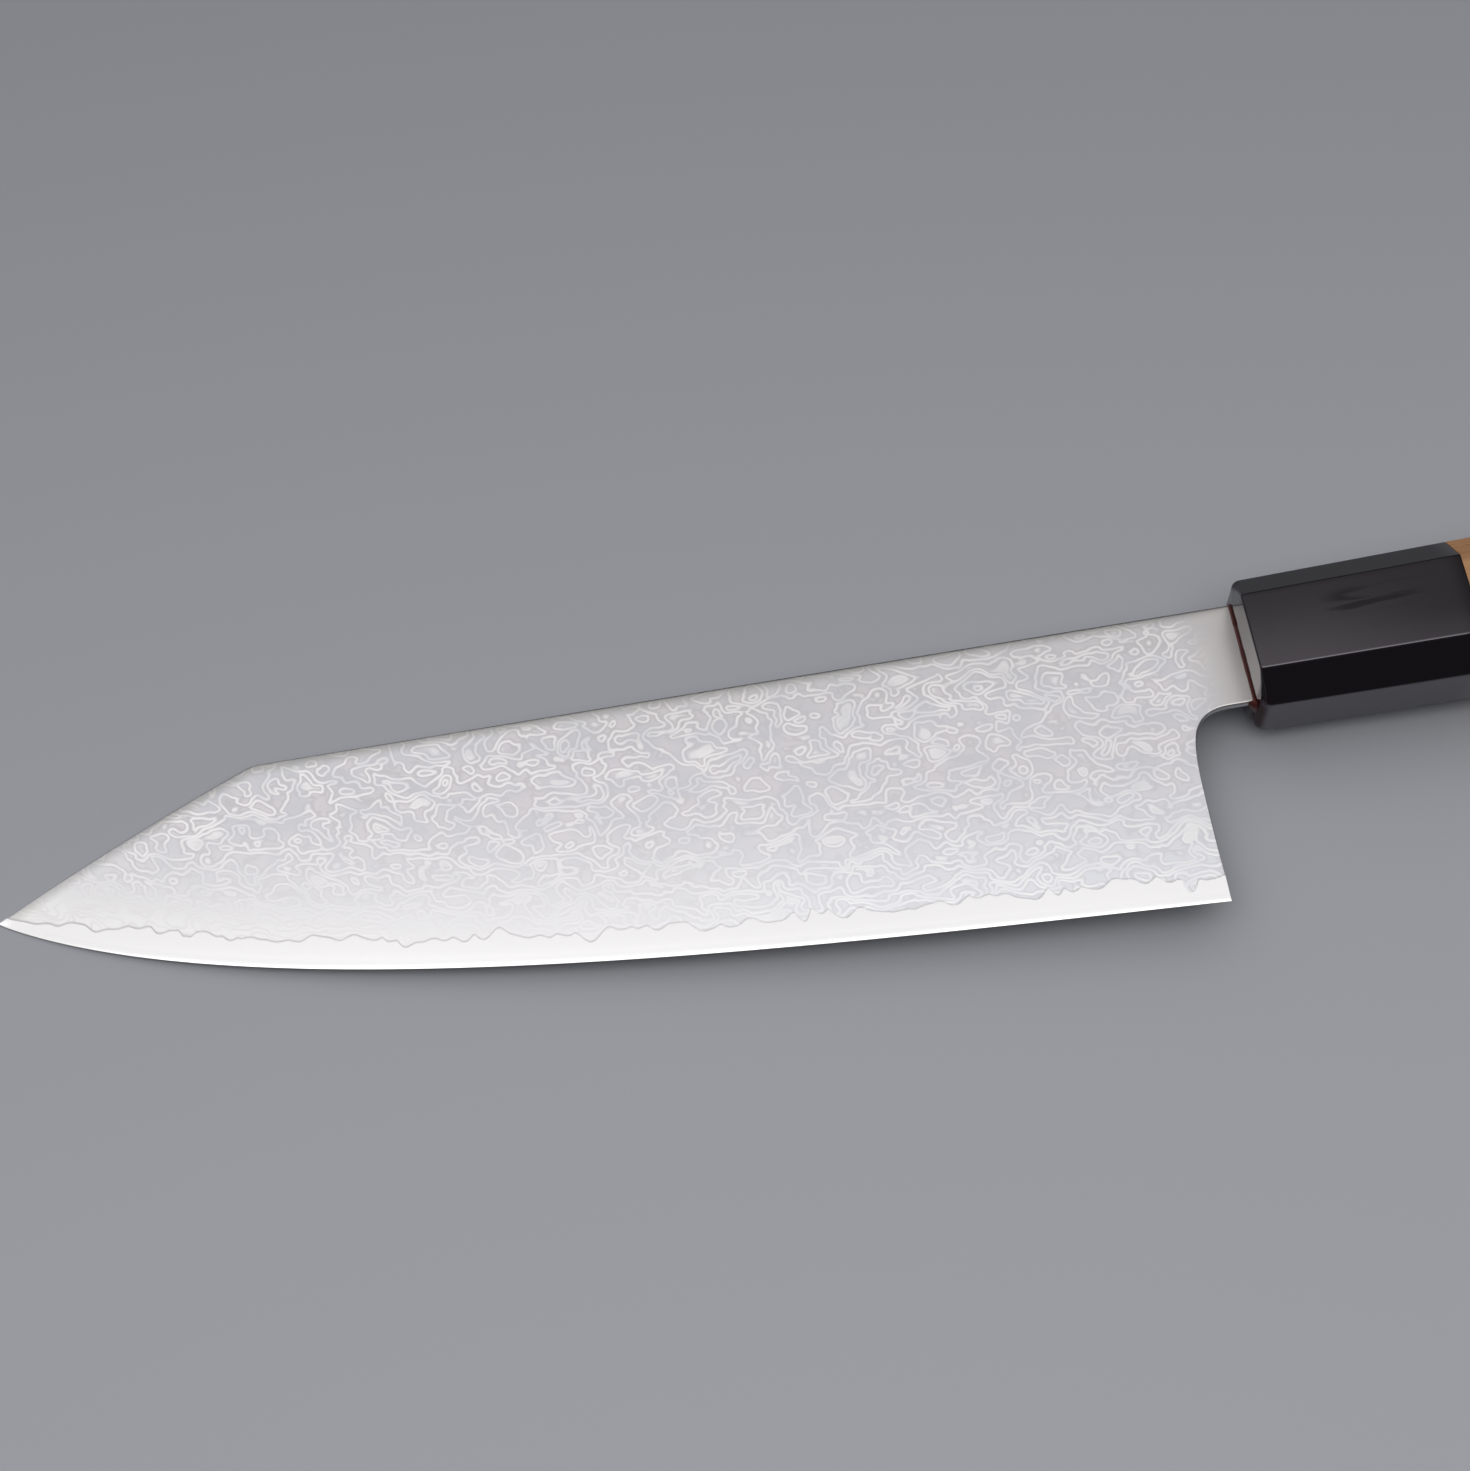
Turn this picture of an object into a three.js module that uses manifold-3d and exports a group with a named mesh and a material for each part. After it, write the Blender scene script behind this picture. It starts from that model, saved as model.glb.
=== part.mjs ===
// Bunka knife: a laminated blade with a K-shaped point, on a hidden-tang octagonal handle.
// Millimetres. In the knife's own frame X runs along the handle axis, from the point (-X) to the butt (+X),
// with X = 0 at the ferrule's front face. +Y is the spine side, -Y the edge side, and Z is the thickness.
// The finished knife lies on its side, on the point and the ferrule's lower front edge, with +Z up.

import * as THREE from 'three';
import { mergeVertices } from 'three/addons/utils/BufferGeometryUtils.js';
import Module from 'manifold-3d';

const wasm = await Module();
wasm.setup();

// Blade outline
const BLADE_LENGTH = 178.3; // heel to point, along the handle axis
const NECK_LENGTH = 10.8; // ferrule face to heel
const HEEL_HEIGHT = 46.05; // spine to edge at the heel
const NECK_HEIGHT = 16.15;
const SPINE_ABOVE_AXIS = 8.35; // spine above the handle axis, at the ferrule face
const SPINE_RISE = 0.9; // gained by the spine from the ferrule face to the K corner
const POINT_LENGTH = 39.4; // K corner to point, along the handle axis
const POINT_DROP = 18.4; // K corner to point, square to the handle axis
const POINT_BOW = 0.55; // how far the line from K corner to point bows out in its middle
const K_CORNER_ROUND = 0.16; // how far the rounding takes the K corner down
const EDGE_HEEL_ANGLE = 3.7; // degrees, how steeply the edge leaves the heel
const EDGE_FLAT_REACH = 59; // how far the nearly straight edge by the heel shapes the curve
const EDGE_POINT_ANGLE = 30.3; // degrees, how steeply the edge meets the point
const EDGE_BELLY_REACH = 40.7; // how far the belly by the point shapes the curve
const CHOIL_DEPTH = 6.9; // heel line to the end of the choil curve, along the neck
const CHOIL_HEIGHT = 12.1; // neck to the end of the choil curve, down the heel
const CHOIL_FULLNESS = 0.74; // 0.55 is a quarter of an ellipse, 1 a square corner

// Blade section
const SPINE_THICKNESS = 2; // at the heel, neck and tang
const POINT_THICKNESS = 0.3; // of the spine at the point
const GRIND_POWER = 0.52; // half thickness grows as this power of the height above the edge
const SPINE_EASE = 0.25; // bevel along both spine corners
const CORE_THICKNESS = 0.44; // under the cladding, at the heel, neck and tang
const WELD_LINE = 0.02; // hairline between core and cladding

// Wavy end of the cladding above the edge
const CLAD_LINE_HEIGHT = 4.2; // above the edge, along most of the blade
const CLAD_LINE_POINT_HEIGHT = 2.6; // above the edge, at the point
const CLAD_LINE_NARROWING = 26; // stretch next to the point over which it comes down
const CLAD_WAVES = [
  { length: 23, height: 0.35 },
  { length: 9.1, height: 0.3 },
  { length: 5.3, height: 0.22 },
];

// Tang
const TANG_LENGTH = 70; // inside the handle
const TANG_FRONT_HEIGHT = 8;
const TANG_END_HEIGHT = 5;

// Octagonal handle
const HANDLE_LENGTH = 133.4;
const FERRULE_LENGTH = 33.2;
const HANDLE_FRONT_HEIGHT = 21;
const HANDLE_BUTT_HEIGHT = 24.8;
const HANDLE_FRONT_THICKNESS = 17.8;
const HANDLE_BUTT_THICKNESS = 21.8;
const HANDLE_FRONT_CHAMFER = 4.45; // leg of the 45 degree corner cut
const HANDLE_BUTT_CHAMFER = 5.05;
const FERRULE_ROUND = 1.4; // radius of the ferrule's front edge
const BUTT_ROUND = 1.6; // radius of the grip's end edge
const FERRULE_FRONT_WALL = 4;

// Joint inside the handle
const GLUE_LINE = 0.1; // clearance on every glued face
const BEDDING = 0.6; // resin on each side of the tang
const DOWEL_WALL = 1.2; // wood left beside the slot's corners
const DOWEL_TAIL = 7; // solid dowel behind the slot
const SEAL_THICKNESS = 0.5; // resin between neck and ferrule
const SEAL_LIP = 0.75; // how far the resin bead stands proud of the neck, over the mouth of the slot
const SEAL_DROP = 1.3; // how far it runs down the ferrule below the neck

// Fineness of the curved faces
const EDGE_STEPS = 72;
const SECTION_STEPS = 9;
const TAPER_STEPS = 14;
const CHOIL_STEPS = 10;
const CLAD_LINE_STEPS = 110;
const ROUND_STEPS = 4;
const DOWEL_SIDES = 32;

const OVERRUN = 5; // how far a cutting body runs past what it cuts

// Places that follow from the sizes
const heelX = -NECK_LENGTH;
const pointX = heelX - BLADE_LENGTH;
const cornerX = pointX + POINT_LENGTH;
const cornerY = SPINE_ABOVE_AXIS + SPINE_RISE;
const pointY = spineY(pointX);
const shoulderX = -SEAL_THICKNESS;
const neckBottomY = SPINE_ABOVE_AXIS - NECK_HEIGHT;
const slotHeight = TANG_FRONT_HEIGHT + 2 * (BEDDING + GLUE_LINE);
const slotThickness = SPINE_THICKNESS + 2 * (BEDDING + GLUE_LINE);
const slotEndX = TANG_LENGTH + BEDDING + 2 * GLUE_LINE;
const dowelRadius = Math.hypot(slotHeight, slotThickness) / 2 + DOWEL_WALL;
const dowelEndX = slotEndX + DOWEL_TAIL;
const ferruleSeatX = FERRULE_LENGTH - GLUE_LINE / 2;
const gripFrontX = FERRULE_LENGTH + GLUE_LINE / 2;

// A closed geometry as a solid that can be joined and cut.
function solidFrom(geometry) {
  const bare = geometry.clone();
  bare.deleteAttribute('normal');
  bare.deleteAttribute('uv');
  const merged = mergeVertices(bare, 1e-5);
  return new wasm.Manifold(
    new wasm.Mesh({
      numProp: 3,
      vertProperties: new Float32Array(merged.attributes.position.array),
      triVerts: new Uint32Array(merged.index.array),
    }),
  );
}

// A solid as a geometry again.
function geometryFrom(solid) {
  const mesh = solid.getMesh();
  const geometry = new THREE.BufferGeometry();
  geometry.setAttribute('position', new THREE.BufferAttribute(mesh.vertProperties, 3));
  geometry.setIndex(new THREE.BufferAttribute(mesh.triVerts, 1));
  geometry.computeVertexNormals();
  return geometry;
}

// A closed body through rings of as many points each. A fan closes it over the first ring, and another
// runs from the last ring to an apex. The rings run towards -X, and each goes round from +Y towards +Z.
function loft(rings, apex) {
  const count = rings[0].length;
  const points = rings.flat();
  const triangles = [];
  for (let ring = 0; ring + 1 < rings.length; ring += 1) {
    for (let side = 0; side < count; side += 1) {
      const next = (side + 1) % count;
      const a = ring * count + side;
      const b = ring * count + next;
      triangles.push(a, b + count, b, a, a + count, b + count);
    }
  }
  const firstCentre = points.push(centreOf(rings[0])) - 1;
  const lastCentre = points.push(apex) - 1;
  const lastStart = (rings.length - 1) * count;
  for (let side = 0; side < count; side += 1) {
    const next = (side + 1) % count;
    triangles.push(firstCentre, side, next);
    triangles.push(lastCentre, lastStart + next, lastStart + side);
  }
  const geometry = new THREE.BufferGeometry().setFromPoints(points);
  geometry.setIndex(triangles);
  return geometry;
}

function centreOf(ring) {
  const centre = new THREE.Vector3();
  ring.forEach((point) => centre.add(point));
  return centre.divideScalar(ring.length);
}

// An outline drawn in X and Y, made a plate of this thickness about Z = 0.
function plate(outline, thickness) {
  const geometry = new THREE.ExtrudeGeometry(outline, {
    depth: thickness,
    bevelEnabled: false,
    curveSegments: CHOIL_STEPS,
  });
  return geometry.translate(0, 0, -thickness / 2);
}

// An outline drawn in Y and Z, carried along X between two places.
function bar(outline, fromX, toX) {
  const geometry = new THREE.ExtrudeGeometry(outline, {
    depth: toX - fromX,
    bevelEnabled: false,
    curveSegments: ROUND_STEPS,
  });
  const turn = new THREE.Matrix4().makeBasis(
    new THREE.Vector3(0, 1, 0),
    new THREE.Vector3(0, 0, 1),
    new THREE.Vector3(1, 0, 0),
  );
  return geometry.applyMatrix4(turn).translate(fromX, 0, 0);
}

function box(fromX, toX, fromY, toY, fromZ, toZ) {
  const geometry = new THREE.BoxGeometry(toX - fromX, toY - fromY, toZ - fromZ);
  return geometry.translate((fromX + toX) / 2, (fromY + toY) / 2, (fromZ + toZ) / 2);
}

function rod(radius, fromX, toX) {
  const geometry = new THREE.CylinderGeometry(radius, radius, toX - fromX, DOWEL_SIDES);
  return geometry.rotateZ(Math.PI / 2).translate((fromX + toX) / 2, 0, 0);
}

// The cutting edge, from heel to point.
function edgeCurve() {
  const heelAngle = THREE.MathUtils.degToRad(EDGE_HEEL_ANGLE);
  const pointAngle = THREE.MathUtils.degToRad(EDGE_POINT_ANGLE);
  const heel = new THREE.Vector2(heelX, spineY(heelX) - HEEL_HEIGHT);
  const point = new THREE.Vector2(pointX, pointY);
  const flat = new THREE.Vector2(-Math.cos(heelAngle), Math.sin(heelAngle));
  const belly = new THREE.Vector2(Math.cos(pointAngle), -Math.sin(pointAngle));
  return new THREE.CubicBezierCurve(
    heel,
    flat.multiplyScalar(EDGE_FLAT_REACH).add(heel),
    belly.multiplyScalar(EDGE_BELLY_REACH).add(point),
    point,
  );
}

// Height of the spine: the straight back and the slightly bowed line to the point, blended at the K corner.
function spineY(x) {
  const back = cornerY + (SPINE_RISE / cornerX) * (x - cornerX);
  const fromPoint = (x - pointX) / POINT_LENGTH;
  const drop = POINT_DROP - 4 * POINT_BOW * Math.min(fromPoint, 1);
  const kLine = cornerY + drop * (fromPoint - 1);
  return (back + kLine) / 2 - Math.hypot((back - kLine) / 2, K_CORNER_ROUND);
}

// Thickness of the spine: even along tang, neck and heel, then thinning faster and faster to the point.
function spineThickness(x) {
  const share = THREE.MathUtils.clamp((heelX - x) / BLADE_LENGTH, 0, 1);
  return THREE.MathUtils.lerp(SPINE_THICKNESS, POINT_THICKNESS, share ** 2);
}

// One section of the blade: a convex wedge from the sharp edge up to an eased spine.
function bladeRing(x, edgeY) {
  const topY = spineY(x);
  const half = spineThickness(x) / 2;
  const ease = Math.min(SPINE_EASE, half / 2, (topY - edgeY) / 4);
  const shoulderY = topY - ease;
  const face = [];
  for (let step = 1; step <= SECTION_STEPS; step += 1) {
    const share = (step / SECTION_STEPS) ** 2;
    face.push([edgeY + (shoulderY - edgeY) * share, half * share ** GRIND_POWER]);
  }
  const top = [topY, half - ease];
  const upper = [...face, top];
  const lower = upper.map(([y, z]) => [y, -z]);
  const round = [...upper.toReversed(), [edgeY, 0], ...lower];
  return round.map(([y, z]) => new THREE.Vector3(x, y, z));
}

// The blade before lamination: the ground wedge, with the neck, choil and tang cut from its rear.
function bladeBlank() {
  const edge = edgeCurve();
  const heelY = spineY(heelX) - HEEL_HEIGHT;
  const rings = [bladeRing(TANG_LENGTH, heelY)];
  const places = edge.getPoints(EDGE_STEPS).slice(0, -1);
  places.forEach((place) => rings.push(bladeRing(place.x, place.y)));
  const wedge = solidFrom(loft(rings, new THREE.Vector3(pointX, pointY, 0)));

  const lowestY = heelY - OVERRUN;
  const below = new THREE.Shape();
  below.moveTo(heelX, lowestY);
  below.lineTo(TANG_LENGTH + OVERRUN, lowestY);
  below.lineTo(TANG_LENGTH + OVERRUN, -TANG_END_HEIGHT / 2);
  below.lineTo(TANG_LENGTH, -TANG_END_HEIGHT / 2);
  below.lineTo(shoulderX, -TANG_FRONT_HEIGHT / 2);
  below.lineTo(shoulderX, neckBottomY);
  below.lineTo(heelX + CHOIL_DEPTH, neckBottomY);
  below.bezierCurveTo(
    heelX + CHOIL_DEPTH * (1 - CHOIL_FULLNESS),
    neckBottomY,
    heelX,
    neckBottomY - CHOIL_HEIGHT * (1 - CHOIL_FULLNESS),
    heelX,
    neckBottomY - CHOIL_HEIGHT,
  );
  const highestY = cornerY + OVERRUN;
  const above = new THREE.Shape();
  above.moveTo(shoulderX, highestY);
  above.lineTo(shoulderX, TANG_FRONT_HEIGHT / 2);
  above.lineTo(TANG_LENGTH, TANG_END_HEIGHT / 2);
  above.lineTo(TANG_LENGTH + OVERRUN, TANG_END_HEIGHT / 2);
  above.lineTo(TANG_LENGTH + OVERRUN, highestY);
  const through = SPINE_THICKNESS + 2 * OVERRUN;
  return wedge.subtract(solidFrom(plate(below, through))).subtract(solidFrom(plate(above, through)));
}

// The strip along the edge that the cladding leaves bare, up to this far below the wavy clad line.
function bareStrip(below) {
  const edge = edgeCurve();
  const length = edge.getLength();
  const outline = new THREE.Shape();
  outline.moveTo(pointX - OVERRUN, pointY - HEEL_HEIGHT - OVERRUN);
  outline.lineTo(heelX + OVERRUN, pointY - HEEL_HEIGHT - OVERRUN);
  for (let step = 0; step <= CLAD_LINE_STEPS; step += 1) {
    const share = step / CLAD_LINE_STEPS;
    const place = edge.getPointAt(share);
    const along = edge.getTangentAt(share);
    const toPoint = length * (1 - share);
    const rise = THREE.MathUtils.smoothstep(toPoint, 0, CLAD_LINE_NARROWING);
    let height = THREE.MathUtils.lerp(CLAD_LINE_POINT_HEIGHT, CLAD_LINE_HEIGHT, rise) - below;
    CLAD_WAVES.forEach((wave) => {
      height += wave.height * rise * Math.sin((2 * Math.PI * toPoint) / wave.length);
    });
    const onLine = new THREE.Vector2(along.y, -along.x).multiplyScalar(height).add(place);
    if (step === 0) {
      outline.lineTo(heelX + OVERRUN, onLine.y);
    }
    outline.lineTo(onLine.x, onLine.y);
  }
  outline.lineTo(pointX - OVERRUN, pointY + CLAD_LINE_POINT_HEIGHT);
  return solidFrom(plate(outline, SPINE_THICKNESS + 2 * OVERRUN));
}

// The core's flat inner part, which thins with the spine, with this much room on both faces.
function middleLayer(room) {
  const lowY = pointY - HEEL_HEIGHT - OVERRUN;
  const highY = cornerY + OVERRUN;
  const rings = [TANG_LENGTH + OVERRUN, ...taperPlaces(), pointX - OVERRUN].map((x) => {
    const z = (CORE_THICKNESS * spineThickness(x)) / SPINE_THICKNESS / 2 + room;
    const corners = [
      [highY, z],
      [lowY, z],
      [lowY, -z],
      [highY, -z],
    ];
    return corners.map(([cornerAtY, cornerAtZ]) => new THREE.Vector3(x, cornerAtY, cornerAtZ));
  });
  return solidFrom(loft(rings, new THREE.Vector3(pointX - OVERRUN, 0, 0)));
}

// Places along the blade where the thinning of the layers is worked out, from heel to point.
function taperPlaces() {
  return Array.from({ length: TAPER_STEPS + 1 }, (_, step) => heelX - (BLADE_LENGTH * step) / TAPER_STEPS);
}

// The core is thin under the claddings and fills the whole section along the bare edge.
function coreGeometry() {
  return geometryFrom(bladeBlank().intersect(middleLayer(0).add(bareStrip(WELD_LINE))));
}

// One cladding: side is 1 for the upper, left face and -1 for the lower, right face.
function claddingGeometry(side) {
  const faceZ = side * (SPINE_THICKNESS + OVERRUN);
  const half = box(
    pointX - OVERRUN,
    TANG_LENGTH + OVERRUN,
    pointY - HEEL_HEIGHT - OVERRUN,
    cornerY + OVERRUN,
    Math.min(0, faceZ),
    Math.max(0, faceZ),
  );
  const skin = bladeBlank().intersect(solidFrom(half)).subtract(middleLayer(WELD_LINE));
  return geometryFrom(skin.subtract(bareStrip(0)));
}

// One octagonal section of the handle, drawn in by an even inset on all its faces.
function handleRing(x, inset) {
  const share = x / HANDLE_LENGTH;
  const y = THREE.MathUtils.lerp(HANDLE_FRONT_HEIGHT, HANDLE_BUTT_HEIGHT, share) / 2 - inset;
  const z = THREE.MathUtils.lerp(HANDLE_FRONT_THICKNESS, HANDLE_BUTT_THICKNESS, share) / 2 - inset;
  const leg = THREE.MathUtils.lerp(HANDLE_FRONT_CHAMFER, HANDLE_BUTT_CHAMFER, share);
  const chamfer = leg - inset * (2 - Math.SQRT2);
  const corners = [
    [y, z - chamfer],
    [y - chamfer, z],
    [chamfer - y, z],
    [-y, z - chamfer],
    [-y, chamfer - z],
    [chamfer - y, -z],
    [y - chamfer, -z],
    [y, chamfer - z],
  ];
  return corners.map(([cornerAtY, cornerAtZ]) => new THREE.Vector3(x, cornerAtY, cornerAtZ));
}

// Rings of a rounded end edge: a quarter circle from the end face to the sides.
function roundedEnd(endX, radius, inward) {
  const rings = [];
  for (let step = 0; step <= ROUND_STEPS; step += 1) {
    const turn = ((step / ROUND_STEPS) * Math.PI) / 2;
    const x = endX + inward * radius * (1 - Math.cos(turn));
    rings.push(handleRing(x, radius * (1 - Math.sin(turn))));
  }
  return rings;
}

function dowelBore() {
  const radius = dowelRadius + GLUE_LINE;
  return solidFrom(rod(radius, FERRULE_FRONT_WALL, dowelEndX + GLUE_LINE));
}

// A slot for the tang, of its front height all along, with this much room round it.
function tangSlot(room, fromX, toX) {
  const y = TANG_FRONT_HEIGHT / 2 + room;
  const z = SPINE_THICKNESS / 2 + room;
  return solidFrom(box(fromX, toX, -y, y, -z, z));
}

function ferruleGeometry() {
  const rings = [handleRing(ferruleSeatX, 0), ...roundedEnd(0, FERRULE_ROUND, 1).toReversed()];
  const body = solidFrom(loft(rings, new THREE.Vector3(0, 0, 0)));
  const mouth = tangSlot(BEDDING, -OVERRUN, FERRULE_FRONT_WALL + OVERRUN);
  return geometryFrom(body.subtract(dowelBore()).subtract(mouth));
}

function gripGeometry() {
  const rings = [...roundedEnd(HANDLE_LENGTH, BUTT_ROUND, -1), handleRing(gripFrontX, 0)];
  const body = solidFrom(loft(rings, new THREE.Vector3(gripFrontX, 0, 0)));
  return geometryFrom(body.subtract(dowelBore()));
}

function dowelGeometry() {
  const frontX = FERRULE_FRONT_WALL + GLUE_LINE;
  const peg = solidFrom(rod(dowelRadius, frontX, dowelEndX));
  return geometryFrom(peg.subtract(tangSlot(BEDDING + GLUE_LINE, frontX - OVERRUN, slotEndX)));
}

// Resin sleeve in the dowel's slot, with the tapering tang's place left in it.
function beddingGeometry() {
  const frontX = FERRULE_FRONT_WALL + GLUE_LINE;
  const filling = tangSlot(BEDDING, frontX, slotEndX - GLUE_LINE);
  const slope = (TANG_FRONT_HEIGHT - TANG_END_HEIGHT) / 2 / (TANG_LENGTH - shoulderX);
  const farX = TANG_LENGTH + GLUE_LINE;
  const nearX = -OVERRUN;
  const halfAt = (x) => TANG_FRONT_HEIGHT / 2 - slope * (x - shoulderX) + GLUE_LINE;
  const outline = new THREE.Shape();
  outline.moveTo(nearX, -halfAt(nearX));
  outline.lineTo(farX, -halfAt(farX));
  outline.lineTo(farX, halfAt(farX));
  outline.lineTo(nearX, halfAt(nearX));
  const pocket = solidFrom(plate(outline, SPINE_THICKNESS + 2 * GLUE_LINE));
  return geometryFrom(filling.subtract(pocket));
}

// Resin bead between the neck's shoulder and the ferrule, with round ends and the tang's hole.
function sealGeometry() {
  const radius = SPINE_THICKNESS / 2 + SEAL_LIP;
  const topY = SPINE_ABOVE_AXIS + SEAL_LIP - radius;
  const bottomY = neckBottomY - SEAL_DROP + radius;
  const outline = new THREE.Shape();
  outline.absarc(topY, 0, radius, -Math.PI / 2, Math.PI / 2, false);
  outline.absarc(bottomY, 0, radius, Math.PI / 2, (3 * Math.PI) / 2, false);
  const bead = solidFrom(bar(outline, shoulderX + GLUE_LINE, -GLUE_LINE));
  return geometryFrom(bead.subtract(tangSlot(GLUE_LINE, -OVERRUN, OVERRUN)));
}

function steel(color, roughness) {
  return new THREE.MeshStandardMaterial({ color, roughness, metalness: 1, flatShading: true });
}

function plain(color, roughness) {
  return new THREE.MeshStandardMaterial({ color, roughness, metalness: 0, flatShading: true });
}

function piece(name, geometry, material) {
  const mesh = new THREE.Mesh(geometry, material);
  mesh.name = name;
  return mesh;
}

const knife = new THREE.Group();
knife.add(
  piece('blade_core', coreGeometry(), steel(0xe4e3e2, 0.25)),
  piece('left_cladding', claddingGeometry(1), steel(0xc9c6ca, 0.4)),
  piece('right_cladding', claddingGeometry(-1), steel(0xc9c6ca, 0.4)),
  piece('mouth_seal', sealGeometry(), plain(0x3a1512, 0.35)),
  piece('ferrule', ferruleGeometry(), plain(0x171517, 0.15)),
  piece('grip', gripGeometry(), plain(0x8a6346, 0.5)),
  piece('dowel', dowelGeometry(), plain(0xb99a6b, 0.7)),
  piece('tang_bedding', beddingGeometry(), plain(0xcbb98a, 0.4)),
);

// Lying pose: the handle is thicker than the blade, so the knife leans on its point.
const leanRise = (HANDLE_FRONT_THICKNESS - POINT_THICKNESS) / 2;
const leanRun = FERRULE_ROUND - pointX;
knife.rotation.y = -Math.asin(leanRise / leanRun);

// The origin is under the middle of the knife, on the surface that it lies on.
const extent = new THREE.Box3().setFromObject(knife, true);
const middle = extent.getCenter(new THREE.Vector3());
knife.position.set(-middle.x, -middle.y, -extent.min.z);

const bunkaKnife = new THREE.Group();
bunkaKnife.add(knife);

export default bunkaKnife;
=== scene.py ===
import math
import bpy
import numpy as np
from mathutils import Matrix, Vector


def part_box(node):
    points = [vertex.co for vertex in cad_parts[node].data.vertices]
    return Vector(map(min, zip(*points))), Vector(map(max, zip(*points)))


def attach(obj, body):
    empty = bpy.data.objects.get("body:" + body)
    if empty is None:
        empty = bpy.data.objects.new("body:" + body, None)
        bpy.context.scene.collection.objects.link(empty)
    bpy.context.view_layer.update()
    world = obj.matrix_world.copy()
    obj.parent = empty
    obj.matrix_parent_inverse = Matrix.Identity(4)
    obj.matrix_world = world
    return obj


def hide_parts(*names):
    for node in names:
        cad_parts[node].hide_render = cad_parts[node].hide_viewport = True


# A bunka knife that lies on its right side: a laminated blade with a K-shaped point, a resin bead where
# the neck enters the handle, a polished black ferrule and an octagonal wooden grip.
# Sizes are in millimetres, in the knife's own frame: X runs along the handle axis from the point (-X) to
# the butt (+X), with X = 0 at the ferrule's front face, +Y is the spine side and Z is the thickness.

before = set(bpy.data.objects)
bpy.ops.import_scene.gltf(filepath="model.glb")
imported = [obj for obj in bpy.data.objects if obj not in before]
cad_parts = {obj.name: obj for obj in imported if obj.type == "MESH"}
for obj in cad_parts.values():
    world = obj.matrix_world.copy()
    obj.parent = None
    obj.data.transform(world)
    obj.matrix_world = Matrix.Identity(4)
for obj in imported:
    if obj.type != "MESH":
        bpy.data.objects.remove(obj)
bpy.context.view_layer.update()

# Blade outline
BLADE_LENGTH = 178.3
NECK_LENGTH = 10.8
HEEL_HEIGHT = 46.05
NECK_HEIGHT = 16.15
SPINE_ABOVE_AXIS = 8.35
SPINE_RISE = 0.9
POINT_LENGTH = 39.4
POINT_DROP = 18.4
POINT_BOW = 0.55
K_CORNER_ROUND = 0.16
EDGE_HEEL_ANGLE = 3.7
EDGE_FLAT_REACH = 59.0
EDGE_POINT_ANGLE = 30.3
EDGE_BELLY_REACH = 40.7
CHOIL_DEPTH = 6.9
CHOIL_HEIGHT = 12.1
CHOIL_FULLNESS = 0.74

# Blade section: the grind ends an ease below the spine, or at a share of the height where that is higher
SPINE_THICKNESS = 2.0
POINT_THICKNESS = 0.3
GRIND_POWER = 0.52
GRIND_LEAST_SHARE = 0.75
SPINE_EASE = 0.25
CORE_THICKNESS = 0.44
WELD_LINE = 0.02

# Clad line: its height above the edge, the waves in it as length and height, and where along the edge
# they come up
CLAD_LINE_HEIGHT = 4.2
CLAD_LINE_POINT_HEIGHT = 1.3
CLAD_LINE_NARROWING = 22.0
CLAD_WAVES = (
    (23.0, 0.4),
    (9.1, 0.35),
    (5.3, 0.2),
    (3.1, 0.12),
)
CLAD_WAVES_GROW = (1.0, 10.0)
# Lobes that hang from it, smaller near the point. The waves in their spacing are length, turn and start
LOBE_LENGTH = 4.3
LOBE_HEIGHT = 0.7
LOBE_LEVEL = 0.64
LOBE_CUSP_EASE = 0.02
LOBE_POINT_SHARE = 0.4
LOBES_GROW = (15.0, 70.0)
LOBE_SPACING_WAVES = (
    (31.0, 1.3, 0.0),
    (12.3, 0.9, 1.0),
)
LOBE_SWELL = 0.6
LOBE_SWELL_LENGTH = 17.0
# Drips of the cladding into the bare strip: distance from the heel, depth and half width
CLAD_DRIPS = (
    (5.4, 2.0, 1.0),
    (62.0, 0.9, 1.0),
    (153.0, 1.3, 1.1),
)
DRIP_POWER = 4

# Rounding along the borders of a cladding: how far in it starts, and how far it drops. Where there is
# less room, it takes a share of the column's length and of the cladding's thickness. A column counts as
# at least so square to its border
SPINE_ROUND = (1.5, 0.32)
REAR_ROUND = (0.3, 0.2)
CLAD_LINE_ROUND = (0.14, 0.03)
ROUND_LENGTH_SHARE = 0.3
ROUND_DEPTH_SHARE = 0.45
LEAST_SQUARENESS = 0.25

# What stands for a distance from the clad line where there is none
FAR_ABOVE = 50.0

# Shares of the core's half thickness: on its underside, and ahead of the claddings, on the way to the
# spine and there
CORE_UNDER_SHARE = 0.9
CORE_TIP_SHARE = 0.7
CORE_TIP_TOP_SHARE = 0.4

# Tang
TANG_LENGTH = 70.0
TANG_FRONT_HEIGHT = 8.0
TANG_END_HEIGHT = 5.0

# Handle
HANDLE_LENGTH = 133.4
FERRULE_LENGTH = 33.2
HANDLE_FRONT_HEIGHT = 21.0
HANDLE_BUTT_HEIGHT = 24.8
HANDLE_FRONT_THICKNESS = 17.8
HANDLE_BUTT_THICKNESS = 21.8
HANDLE_FRONT_CHAMFER = 4.45
HANDLE_BUTT_CHAMFER = 5.05
FERRULE_ROUND = 1.4
FERRULE_FLAT_ROUND = 0.45
FERRULE_FLAT_BLEND = (3.6, 0.2)
BUTT_ROUND = 1.6
RIDGE_ROUND = 0.5
JOINT_EASE = 0.04
FERRULE_FRONT_WALL = 4.0
GLUE_LINE = 0.1
BEDDING = 0.6
DOWEL_WALL = 1.2
DOWEL_TAIL = 7.0
MOUTH_CORNER_CUT = 0.4
MOUTH_CORNER_ROUND = 0.2
BORE_ROUNDNESS = 0.999

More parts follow.
